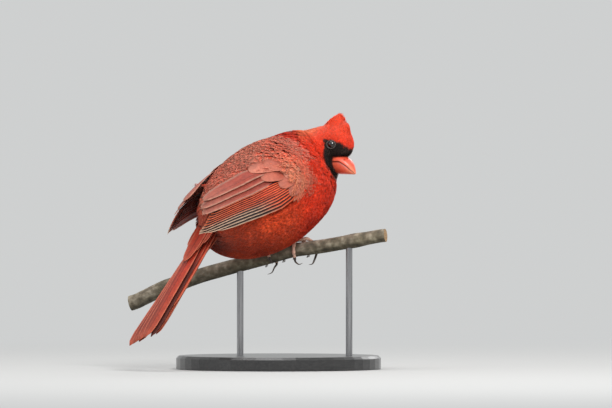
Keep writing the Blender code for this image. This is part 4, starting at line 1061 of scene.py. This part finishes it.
def flight_feather(side, k, share, rng):
    """A primary or secondary, counted up from the wing's lower edge."""
    step = 0.12 - 0.004 * k
    primary = 1.0 - smoothstep(k, 2.5, 5.5)
    warm = rng.normal(0.0, 0.05)
    gap = rng.uniform(-0.35, 0.0)

    def edge(v):
        low = np.interp(v, *WING_LOW)
        return low + (np.interp(v, *WING_TERTIAL) + 1.0 - low) * share

    def lean(v):
        span = np.interp(v, *WING_TERTIAL) - np.interp(v, *WING_LOW)
        return 0.6 / np.maximum(step * (span * math.pi / 180.0 * barrel(v)), 0.7)

    def tint(part, b, full):
        pale = primary * smoothstep(part, 0.15, 0.5)
        web = mix(WEB_RED, WEB_ROSE, 0.2 + 0.7 * smoothstep(part, 0.45, 1.0))
        web = mix(web, WEB_BROWN, 0.9 * pale)
        colour = mix(mix(EDGE_ROSE, EDGE_CREAM, pale), web, smoothstep(b, 0.2, 0.38 + 0.1 * primary))
        # towards its upper edge the web darkens: partly its own dark inner web, partly painted shadow where
        # the next feather up overlaps it
        dark_from = 0.82 - 0.36 * smoothstep(part, 0.2, 0.6) + 0.6 * gap * (1.0 - pale)
        colour = mix(colour, WEB_DARK_AND_SHADOW, 0.97 * smoothstep(b, dark_from, dark_from + 0.25))
        return colour * (1.0 + warm)

    end = np.interp(k, *FLIGHT_TIPS)
    return wing_feather(side, covert_end(edge) - 6.0, end, edge, 5.4, -0.45, lean, tint, rng)


def tertial(side, k, end, from_edge, width, rng):
    def edge(v):
        return np.interp(v, *WING_TERTIAL) + from_edge * (0.75 + 0.25 * np.minimum(v, 60.0) / 60.0)

    def level(part):
        return -0.3 + 0.35 * k - 0.9 * (1.0 - smoothstep(part, 0.0, 0.3))

    def tint(part, b, full):
        web = mix(TERTIAL_ROSE, TERTIAL_GREY, 0.35 * smoothstep(part, 0.4, 1.0))
        web = mix(web, WEB_BROWN, 0.5 * smoothstep(full, 0.3, 0.6) * (k < 2))
        inner = smoothstep(b, 0.3, 1.5) * (1.0 - smoothstep(full, 0.9, 1.0))
        colour = mix(TERTIAL_GREY, web, inner * (1.0 - smoothstep(part, 0.94, 1.0)))
        return mix(colour, WEB_BROWN, 0.55 * np.exp(-((full - SHAFT - 0.01) / 0.025) ** 2))

    return wing_feather(
        side, 9.0, end, edge, width, level, 0.16, tint, rng, tip_start=0.7, under=UNDER_TERTIAL_PAINTED_LIGHT,
    )


def covert(side, tier, k, rng):
    """A covert, rounded and soft; each tier lies over the roots of the one behind it."""
    count, length, short, root_level, tip_level = tier

    def edge(v, share=k / count):
        low = np.interp(v, *WING_LOW) - 1.0
        return low + (np.interp(v, *WING_TOP) + 1.0 - low) * share

    def width(v):
        return 1.55 * (edge(v, 1.0) - edge(v, 0.0)) / count * math.pi / 180.0 * barrel(v)

    def level(part):
        rise = (tip_level - root_level) * smoothstep(part, 0.0, 0.7)
        return root_level + rise - 0.25 * smoothstep(part, 0.8, 1.0)

    pale = rng.uniform(0.2, 0.8)

    def tint(part, b, full):
        web = mix(COVERT_ROSE, COVERT_PALE, pale * smoothstep(part, 0.3, 0.9))
        web = mix(web, WEB_BROWN, 0.3 * (1.0 - smoothstep(part, 0.0, 0.6)))
        web = mix(web, WEB_BROWN, 0.2 * smoothstep(full, 0.35, 0.7))
        rim = 1.0 - smoothstep(full, 0.0, 0.12) * (1.0 - smoothstep(part, 0.88, 1.0))
        return mix(web, COVERT_PALE, 0.4 * rim)

    end = covert_end(edge) - short + rng.normal(0.0, 0.4)
    start = max(end - length, -10.5)
    return wing_feather(
        side, start, end, edge, width, level, 0.1, tint, rng, rows=20, tip_start=0.36, camber=0.3,
    )


def build_wing(side_name, side, seed):
    rng = np.random.default_rng(seed)
    name = "wing_" + side_name + "_feathers"
    feathers = [flight_feather(side, k, share, rng) for k, share in enumerate(FLIGHTS)]
    feathers += [tertial(side, k, *sizes, rng) for k, sizes in enumerate(TERTIALS)]
    add_vanes(name, feathers, "wing_rose", ("wing_" + side_name,))
    coverts = [covert(side, tier, k, rng) for tier in COVERT_TIERS for k in range(tier[0])]
    add_vanes(name + "_coverts", coverts, "wing_rose")


build_wing("right", -1.0, SEED + 11)
build_wing("left", 1.0, SEED + 12)

# tail: for each feather its place across at root and tip, depth, length and half width
RECTRICES = [
    (-0.2, 0.2, 0.0, 95.5, 5.0), (0.8, 5.2, -0.85, 97.0, 5.0), (1.8, 9.6, -1.7, 98.8, 5.0),
    (2.8, 13.4, -2.55, 99.8, 5.0), (3.4, 11.6, -3.2, 97.0, 5.0), (2.4, 8.4, -3.8, 96.0, 4.6),
    (-4.4, -3.8, -1.3, 94.0, 3.1), (-5.4, -4.8, -2.15, 72.0, 3.6), (-4.0, -3.4, -2.7, 91.0, 3.1),
    (-4.8, -4.2, -3.2, 84.0, 3.1), (-4.2, -3.6, -3.7, 88.0, 3.0), (-3.6, -3.0, -4.2, 90.0, 3.0),
]
TAIL_COVERTS = [
    (-3.0, -5.0, 0.9, 27.0, 4.6), (4.0, 6.0, 0.9, 29.0, 4.6), (-1.5, -2.4, 1.3, 33.0, 4.4),
    (2.0, 3.4, 1.3, 34.0, 4.6), (0.3, 0.8, 1.8, 40.5, 5.4), (-2.6, -3.4, -4.6, 30.0, 4.6),
    (3.4, 4.4, -4.6, 29.0, 4.6), (0.2, 0.4, -5.3, 38.0, 5.4),
]
# rows, where the tip begins, dark inner web, pale tip and how deep the root sinks
RECTRIX_LOOK = (26, 0.86, 0.5, 0.35, 0.0)
TAIL_COVERT_LOOK = (16, 0.6, 0.0, 0.7, 1.6)
TAIL_COLUMNS = np.array([[-1.0, -0.9, -0.75, -0.5, -0.2, -0.05, 0.0, 0.05, 0.2, 0.5, 0.75, 0.9, 1.0]])
TAIL_START = 3.0
# the feather with this root lies under the slit between the tail's two halves, and is painted dark as the
# slit's shadow
SLIT_SHADOW_ROOT = -4.4
# tail coverts no higher than this lie under the tail
TAIL_UNDERSIDE = -4.4
TAIL_RED = srgb(172, 48, 30)
TAIL_ROSE = srgb(160, 62, 44)
TAIL_EDGE = srgb(200, 102, 78)
# dark inner webs, shafts and undersides, also used as painted shadow in the tail's slit
TAIL_DARK_AND_SHADOW = srgb(52, 20, 19)


def tail_feather(feather, look, rng):
    root_y, tip_y, depth, length, half = feather
    rows, tip_start, dark, pale, sunk = look
    part = np.linspace(0.0, 1.0, rows)[:, None] ** 0.9
    s = TAIL_START + (length - TAIL_START) * part
    across = TAIL_COLUMNS
    share = (0.55 + 0.45 * smoothstep(part, 0.0, 0.45)) * np.maximum(tip_shape(part, tip_start), 0.03)
    y = root_y + (tip_y - root_y) * part ** 1.4 + half * share * across
    for edge in (0, -1):
        y[:, edge] += 0.06 * rng.normal(size=rows)
    droop = 0.32 * np.abs(across) ** 1.5 * share
    ridge = 0.14 * np.exp(-(across / 0.06) ** 2) * (1.0 - 0.7 * part)
    sink = sunk * (1.0 - smoothstep(part, 0.0, 0.3)) * (1.0 if depth > TAIL_UNDERSIDE else -1.0)
    local = np.stack(np.broadcast_arrays(s, y, depth - droop + ridge - sink), axis=-1)
    rim = smoothstep(np.abs(across), 0.72, 0.95)
    colour = mix(TAIL_RED, TAIL_ROSE, smoothstep(part, 0.3, 1.0))
    colour = mix(colour, TAIL_EDGE, 0.75 * rim)
    colour = mix(colour, TAIL_DARK_AND_SHADOW, smoothstep(across, 0.1, 0.6) * dark * (1.0 - rim))
    colour = mix(colour, TAIL_DARK_AND_SHADOW, 0.5 * np.exp(-(across / 0.1) ** 2))
    colour = mix(colour, TAIL_EDGE, smoothstep(part, 0.9, 1.0) * pale)
    # painted shadow: the feather under the slit turns dark beyond its root
    if root_y == SLIT_SHADOW_ROOT:
        colour = mix(colour, TAIL_DARK_AND_SHADOW, 0.9 * smoothstep(part, 0.25, 0.45))
    colour = colour * (1.0 + 0.08 * rng.normal())
    return vane(TAIL_ROOT + local @ TAIL_AXES, 0.2, TAIL_AXES[2], colour, s, across, TAIL_DARK_AND_SHADOW)


def build_tail():
    rng = np.random.default_rng(SEED + 20)
    feathers = [tail_feather(sizes, RECTRIX_LOOK, rng) for sizes in RECTRICES]
    feathers += [tail_feather(sizes, TAIL_COVERT_LOOK, rng) for sizes in TAIL_COVERTS]
    add_vanes("tail_feathers", feathers, "tail_red", ("tail",))


build_tail()


# feet and claws: rounded tubes round the perch
PERCH_TAPER = 0.006
# each knot's place along the perch, its width and how far it swells
PERCH_KNOTS = ((-70.0, 7.0, 0.5), (44.0, 5.0, 0.35))
CLAW_LIFT = 0.75
CLAW_TURNS = (26.0, 44.0, 60.0)


def sweep(path, radii, sides, squash=1.0):
    """A closed round tube along a path."""
    path = np.asarray(path, float)
    heading = unit(np.gradient(path, axis=0))
    up = UPWARD if abs(heading[0, 2]) < 0.8 else np.array([0.6, -0.8, 0.0])
    rings = []
    for spot, ahead, radius in zip(path, heading, radii):
        side = unit(np.cross(ahead, up))
        up = np.cross(side, ahead)
        rings.append(spot + radius * spokes(circle(sides), squash * side, up))
    return np.concatenate(rings), tube_faces(len(path), sides)


def smooth_path(points, steps):
    """A rounded line through the points."""
    points = [np.asarray(p, float) for p in points]
    padded = [2 * points[0] - points[1]] + points + [2 * points[-1] - points[-2]]
    result = []
    for p0, p1, p2, p3 in zip(padded, padded[1:], padded[2:], padded[3:]):
        for t in np.arange(steps) / steps:
            bend = (2 * p0 - 5 * p1 + 4 * p2 - p3) * t ** 2 + (3 * p1 - 3 * p2 + p3 - p0) * t ** 3
            result.append(0.5 * (2 * p1 + (p2 - p0) * t + bend))
    return result + [points[-1]]


def perch_frame(r):
    """The perch's middle at a reach along it, and the ways along it, up and ahead."""
    along = unit(perch_centre(r + 2.0) - perch_centre(r - 2.0))
    forward = unit(np.cross(UPWARD, along))
    return perch_centre(r), along, np.cross(along, forward), forward


def perch_thickness(r):
    knots = sum(swell * math.exp(-((r - middle) / width) ** 2) for middle, width, swell in PERCH_KNOTS)
    return PERCH_RADIUS - PERCH_TAPER * r * (1.0 if r > 0.0 else 0.5) + knots


def round_perch(r, angle, out):
    """A point out from the perch's surface; the angle turns from its top towards the front."""
    centre, _, up, forward = perch_frame(r)
    return centre + (perch_thickness(r) + out) * spokes(math.radians(angle), up, forward)


def beside_perch(r, height, forward_shift):
    centre, _, _, forward = perch_frame(r)
    spot = centre + forward_shift * forward
    return np.array([spot[0], spot[1], height])


# each leg's place along the perch and the angle of its foot
LEG_PLACES = {"right": (9.0, 0.0), "left": (-6.0, 14.0)}
LEG_WAY = unit(np.array([-0.55, 0.0, 1.0]))
LEG_LENGTH = 9.0
LEG_SINK = 0.6
# each toe's line: shift along the perch from its leg, then the angle round it
TOES = {
    "right": {
        "hind": [(0.0, -14.0), (-0.6, -62.0), (-1.2, -104.0), (-1.6, -138.0)],
        "inner": [(0.6, 4.0), (-2.4, 46.0), (-3.6, 88.0), (-4.0, 122.0)],
        "middle": [(0.8, 4.0), (3.4, 40.0), (4.4, 82.0), (4.8, 128.0)],
        "outer": [(1.2, 0.0), (6.0, 12.0), (8.6, 62.0), (9.4, 122.0)],
    },
    "left": {
        "hind": [(0.0, 0.0), (-0.4, -34.0), (-0.8, -66.0), (-1.0, -96.0)],
        "inner": [(0.6, 18.0), (3.0, 60.0), (4.0, 100.0), (4.4, 132.0)],
        "middle": [(0.0, 18.0), (0.4, 64.0), (0.2, 104.0), (0.0, 146.0)],
        "outer": [(-0.8, 16.0), (-4.2, 54.0), (-5.6, 96.0), (-6.0, 128.0)],
    },
}
# claws that hang free: reach along the perch, height and shift ahead
HANGING_CLAWS = {
    ("right", "hind"): [(8.1, -5.2, -2.2), (10.0, -6.8, -1.5), (12.1, -6.2, -1.0)],
    ("right", "outer"): [(18.1, -4.6, 3.0), (17.2, -6.6, 2.0), (15.3, -7.1, 1.0)],
    ("left", "middle"): [(-5.9, -8.9, 2.6), (-7.3, -11.9, 2.0), (-9.9, -13.0, 1.6)],
}


def toe_nodes(side, name):
    r, _ = LEG_PLACES[side]
    return [round_perch(r + shift, angle, PART_GAP + TOE_RADIUS + 0.15) for shift, angle in TOES[side][name]]


def claw_nodes(side, name):
    toe = smooth_path(toe_nodes(side, name), 2)
    heading = unit(toe[-1] - toe[-2])
    start = toe[-1] + 0.1 * heading
    hanging = HANGING_CLAWS.get((side, name))
    if hanging:
        onward = [beside_perch(*p) for p in hanging]
    else:
        shift, angle = TOES[side][name][-1]
        turn = 1.0 if angle > 0.0 else -1.0
        r = LEG_PLACES[side][0] + shift
        onward = [round_perch(r, angle + turn * t, PART_GAP + CLAW_LIFT) for t in CLAW_TURNS]
    return [start, start + 0.9 * heading] + onward


def scutes(t, number):
    """Small swellings for the scales along a toe or leg."""
    return 0.05 * np.abs(np.sin(math.pi * number * t))


def toe_tube(side, name):
    path = smooth_path(toe_nodes(side, name), 22)
    t = np.linspace(0.0, 1.0, len(path))
    joints = 0.13 * np.cos(2.0 * math.pi * 3.0 * t)
    radii = TOE_RADIUS - 0.1 + joints - 0.14 * t + scutes(t, 12.0)
    radii[-3:] *= np.array([0.93, 0.8, 0.5])
    return sweep(path, radii, 16)


def build_foot(side):
    foot = round_perch(*LEG_PLACES[side], PART_GAP + TOE_RADIUS + 0.2)
    t = np.linspace(0.0, 1.0, 60)
    shin_path = [foot + (LEG_LENGTH * v - LEG_SINK) * LEG_WAY for v in t]
    shin = sweep(shin_path, LEG_RADIUS + 0.12 * (1.0 - t) + scutes(t, 9.0), 18)
    turn = np.linspace(0.02, math.pi - 0.02, 14)
    ball = sweep([foot - 1.35 * math.cos(v) * LEG_WAY for v in turn], 1.38 * np.sin(turn) + 0.01, 18)
    for name in TOES[side]:
        claw = smooth_path(claw_nodes(side, name), 7)
        taper = 1.0 - 0.9 * np.linspace(0.0, 1.0, len(claw)) ** 1.6
        cad_node = "claw_" + side + "_" + name
        horn = sweep(claw, 0.86 * taper, 12, squash=0.85)
        add_piece("horn_" + cad_node, *horn, CLAW_HORN, "claw_brown", (cad_node,))
    skin = joined([shin, ball] + [toe_tube(side, name) for name in TOES[side]])
    add_piece("foot_" + side, *skin, LEG_SKIN, "leg_tan", ("leg_" + side,))


for side in LEG_PLACES:
    build_foot(side)

# bill: reach from its base, then height or half width
BILL_TOP = ([-6.0, -3.0, 0.0, 3.0, 6.0, 9.0, 10.9], [4.6, 5.4, 5.8, 5.4, 4.2, 1.9, -0.2])
BILL_UNDER = ([-6.0, -3.0, 0.0, 10.9], [-5.6, -6.1, -5.9, -0.7])
BILL_WIDE = ([-6.0, -3.0, 0.0, 3.0, 6.0, 9.0, 10.9], [6.9, 7.2, 6.4, 5.4, 4.0, 1.9, 0.3])
MOUTH_LINE = ([-5.5, -0.5, 2.4, 5.8, 8.0, 10.9], [-0.4, 2.4, 2.2, 1.5, 0.7, -0.35])
# outline, gap to the mouth's line, share of the width, and the powers that shape its arch and its red ridge
BILL_HALVES = {"upper": (BILL_TOP, 0.1, 0.93, 0.9, 1.5), "lower": (BILL_UNDER, -0.1, 0.9, 0.8, 0.9)}
BILL_TIP_START = 9.6
NOSTRIL_PLACE = np.array([1.6, 3.55, 4.75])
BILL_BASE_CORAL = srgb(246, 104, 76)
BILL_TIP_CORAL = srgb(250, 152, 112)
BILL_RED = srgb(232, 64, 34)
NOSTRIL = srgb(70, 26, 20)
MOUTH = srgb(120, 40, 30)


def eased(x, table):
    """A table read with its corners rounded."""
    return sum(np.interp(x + 0.7 * w, *table) for w in (-1.0, -0.5, 0.0, 0.5, 1.0)) / 5.0


def build_bill(kind):
    outline, gap, breadth, arch_power, red_power = BILL_HALVES[kind]
    towards_tip = np.linspace(BILL_TIP_START + 0.2, BILL_LENGTH, 8)
    stations = np.concatenate([np.linspace(-5.8, BILL_TIP_START, 38), towards_tip])[:, None]
    t = np.linspace(0.0, math.pi, 25)
    taper = np.sqrt(np.maximum(0.0, 1.0 - np.maximum(0.0, (stations - BILL_TIP_START) / 1.32) ** 2))
    edge = eased(stations, MOUTH_LINE) + gap
    peak = edge + (eased(stations, outline) - edge) * np.maximum(taper, 0.2)
    wide = eased(stations, BILL_WIDE) * breadth * np.maximum(taper, 0.15)
    y = wide * np.cos(t) * (1.0 - 0.05 * np.exp(-t * (math.pi - t) / 0.12))
    height = edge + (peak - edge) * np.sin(t) ** arch_power
    local = np.stack(np.broadcast_arrays(stations, y, height), axis=-1)
    points = in_bill(0.0, 0.0, 0.0) + local.reshape(-1, 3) @ BILL_AXES
    coral = mix(BILL_BASE_CORAL, BILL_TIP_CORAL, smoothstep(stations, 3.0, 11.0))
    tint = mix(coral, BILL_RED, 0.75 * (np.sin(t) ** 2) ** red_power).reshape(-1, 3)
    faces = tube_faces(len(stations), len(t))
    if kind == "lower":
        faces = flipped(faces)
    nostrils = [in_bill(*(NOSTRIL_PLACE * side)) for side in BOTH_SIDES] if kind == "upper" else []
    for nostril in nostrils:
        dent = np.exp(-(np.linalg.norm(points - nostril, axis=1) / 0.5) ** 2)
        tint = mix(tint, NOSTRIL, 0.9 * dent)
        points = points + (0.4 * dent)[:, None] * unit(in_bill(1.6, 0.0, 2.0) - points)
    near_mouth = np.exp(-(np.minimum(t, math.pi - t) / 0.05) ** 2)
    tint = mix(tint, MOUTH, 0.8 * np.tile(near_mouth, len(stations)))
    cad_node = "bill_" + kind
    add_piece("horn_" + cad_node, points, faces, BILL_HORN, "bill_coral", (cad_node,), tint)


for kind in BILL_HALVES:
    build_bill(kind)

# eyes and lids
PUPIL = srgb(7, 6, 6)
IRIS = srgb(26, 17, 14)
EYE_RIM = srgb(20, 14, 12)
PUPIL_EDGE = 0.42
IRIS_EDGE = 0.74


def build_eye(cad_node, eye, out):
    across = unit(np.cross(out, HEAD_AXES[2]))
    up = np.cross(across, out)
    rings, around = 28, 40
    t = (math.pi * (np.arange(rings) + 0.5) / rings)[:, None, None]
    f = circle(around)
    bulge = EYE_RADIUS + 0.12 * np.exp(-(t / 0.45) ** 2)
    points = eye + bulge * (np.cos(t) * out + np.sin(t) * spokes(f, across, up))
    iris = IRIS * (0.8 + 0.4 * np.abs(np.sin(17.0 * f)))[:, None]
    tint = np.where(t < PUPIL_EDGE, PUPIL, np.where(t < IRIS_EDGE, iris, EYE_RIM))
    points, tint = points.reshape(-1, 3), tint.reshape(-1, 3)
    faces = flipped(tube_faces(rings, around))
    add_piece("ball_" + cad_node, points, faces, EYE_WET, "eye_dark", (cad_node,), tint)
    around, section = 56, 10
    t = circle(around)[:, None, None]
    f = circle(section)[:, None]
    radial = np.cos(t) * across + np.where(np.sin(t) > 0.0, 0.93, 0.97) * np.sin(t) * up
    size = LID_THICK + 0.03 * np.sin(19.0 * t) + 0.02 * np.sin(31.0 * t)
    points = eye + (LID_RING + size * np.cos(f)) * radial + (LID_HEIGHT - 0.25 + 1.3 * size * np.sin(f)) * out
    total = around * section
    faces = [tuple(k % total for k in face) for face in grid_faces(around + 1, section, wrap=True)]
    add_piece("lids_" + cad_node, points.reshape(-1, 3), faces, LID_SKIN, "head_red")


for eye_side, eye, out in zip(("right", "left"), EYES, EYE_OUTS):
    build_eye("eye_" + eye_side, eye, out)

build_crest()


# perch with bark and two sawn ends
BARK_SINK = 0.12
BARK_ROUGH = 0.16
BARK_FINE = 0.07


def build_perch():
    start, end = PERCH_LINE[0][0], PERCH_LINE[-1][0]
    rows, sides = 320, 72
    points = []
    tint = []
    for r in start + (end - start) * np.arange(rows) / (rows - 1):
        centre, _, up, forward = perch_frame(r)
        for t, way in zip(circle(sides), spokes(circle(sides), up, forward)):
            c, s = math.cos(t), math.sin(t)
            rough = noise.fractal(Vector((r * 0.05, 2.2 * c, 2.2 * s)), 0.9, 2.0, 5)
            fine = noise.noise(Vector((r * 0.9, 3.0 * c, 3.0 * s)))
            relief = BARK_ROUGH * rough + BARK_FINE * fine
            points.append(centre + (perch_thickness(r) - BARK_SINK + relief) * way)
            # painted light and shade: the bark lighter and bluer on top, darker below and where its relief
            # dips
            top = 0.5 + 0.5 * way[2]
            shade = 0.55 + 0.85 * top + 0.3 * rough
            tint.append((shade, shade * (1.0 - 0.02 * top), shade * (0.9 + 0.12 * top)))
    faces = flipped(grid_faces(rows, sides, wrap=True))
    add_piece("perch_bark", points, faces, bark_material(), "bark_grey", ("perch",), tint)
    sawn = cut_material()
    rings, around = 11, 40
    share = np.linspace(0.0, 1.0, rings)[:, None, None]
    faces = grid_faces(rings, around, wrap=True)
    for name, r, turn in (("perch_cut_1", start, 1.0), ("perch_cut_2", end, -1.0)):
        centre, along, up, forward = perch_frame(r)
        disc = centre + (perch_thickness(r) - 0.1) * share * spokes(circle(around), up, forward)
        disc = disc.reshape(-1, 3) - turn * 0.04 * along
        add_piece(name, disc, faces if turn > 0.0 else flipped(faces), sawn, "bark_grey")


build_perch()

# display stand: the CAD nodes with their own finishes
STAND_FINISHES = {"stand_base": LACQUER, "stand_rod_1": BRUSHED_METAL, "stand_rod_2": BRUSHED_METAL}
for name, material in STAND_FINISHES.items():
    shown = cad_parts[name]
    shown.data.materials.clear()
    shown.data.materials.append(material)

# floor, light and camera
BACKDROP = (0.62, 0.63, 0.63, 1.0)
FLOOR_RINGS = (0.0, 0.3, 1.0, 3.0, 8.0, 40.0)
FLOOR_DROP = -0.0002
CAMERA_LENS = 400.0
SENSOR = 36.0
IMAGE = (612.0, 408.0)
PIXELS_PER_MM = 1.65
PERCH_PIXEL = (283.0, 253.0)
FOCUS = Vector((0.0, 0.0, 0.1))
# metres towards the camera, to its right and up, then size, power and colour
LIGHTS = {
    "key": (0.9, 0.35, 1.1, 0.6, 7.5, (1.0, 0.985, 0.96)),
    "top": (0.0, -0.25, 1.4, 0.9, 8.0, (1.0, 1.0, 1.0)),
    "side": (0.5, -1.2, 0.4, 0.9, 2.5, (0.95, 0.97, 1.0)),
    "back": (-1.2, 0.5, 0.7, 0.8, 4.0, (1.0, 1.0, 1.0)),
    "spark": (0.72, 0.28, 0.5, 0.22, 3.0, (1.0, 1.0, 1.0)),
}


def floor_material():
    """Pale paper that fades into the backdrop away from the model."""
    made, tree = new_material("floor_paper", {
        "Roughness": 0.8, "Base Color": (0.5, 0.5, 0.495, 1.0), "Specular IOR Level": 0.15,
    })
    spot = node(tree, "TexCoord").outputs["Object"]
    far = node(tree, "VectorMath", {0: spot}, operation="LENGTH").outputs["Value"]
    inputs = {"From Min": 0.12, "From Max": 1.0, "Value": far}
    fade = node(tree, "MapRange", inputs, interpolation_type="SMOOTHSTEP").outputs["Result"]
    glow = node(tree, "Emission", {"Color": BACKDROP}).outputs["Emission"]
    paper = tree.nodes["Principled BSDF"].outputs["BSDF"]
    mixed = node(tree, "MixShader", {"Fac": fade, 1: paper, 2: glow}).outputs["Shader"]
    tree.links.new(mixed, tree.nodes["Material Output"].inputs["Surface"])
    return made


def build_stage():
    around = 64
    rings = [radius * spokes(circle(around), np.eye(3)[0], LEFTWARD) for radius in FLOOR_RINGS]
    points = np.concatenate(rings) + FLOOR_DROP * UPWARD
    mesh = bpy.data.meshes.new("floor")
    mesh.from_pydata(points, [], grid_faces(len(rings), around, wrap=True))
    mesh.materials.append(floor_material())
    add_object("floor", mesh)
    world = bpy.data.worlds.new("studio")
    world.use_nodes = True
    background = world.node_tree.nodes["Background"]
    background.inputs["Color"].default_value = BACKDROP
    background.inputs["Strength"].default_value = 1.0
    bpy.context.scene.world = world


def aim(made, spot, way):
    made.location = spot
    made.rotation_mode = "QUATERNION"
    made.rotation_quaternion = Vector(way).to_track_quat("-Z", "Y")


def build_camera():
    distance = IMAGE[0] / PIXELS_PER_MM * CAMERA_LENS / SENSOR * MM
    off_middle = (IMAGE[0] / 2.0 - PERCH_PIXEL[0]) * RIGHT + (PERCH_PIXEL[1] - IMAGE[1] / 2.0) * UPWARD
    camera = bpy.data.cameras.new("camera")
    camera.lens = CAMERA_LENS
    camera.sensor_width = SENSOR
    camera.clip_start = 0.05
    camera.clip_end = 200.0
    made = add_object("camera", camera)
    aim(made, place(off_middle / PIXELS_PER_MM) - distance * AWAY, AWAY)
    bpy.context.scene.camera = made


def build_light(name, towards, right, up, size, power, colour):
    light = bpy.data.lights.new(name, "AREA")
    light.shape = "DISK"
    light.size = size
    light.energy = power
    light.color = colour
    spot = FOCUS + Vector(-AWAY) * towards + Vector(RIGHT) * right + Vector((0.0, 0.0, up))
    aim(add_object(name, light), spot, FOCUS - spot)


build_stage()
build_camera()
for name, settings in LIGHTS.items():
    build_light(name, *settings)
bpy.context.scene.view_settings.view_transform = "Standard"
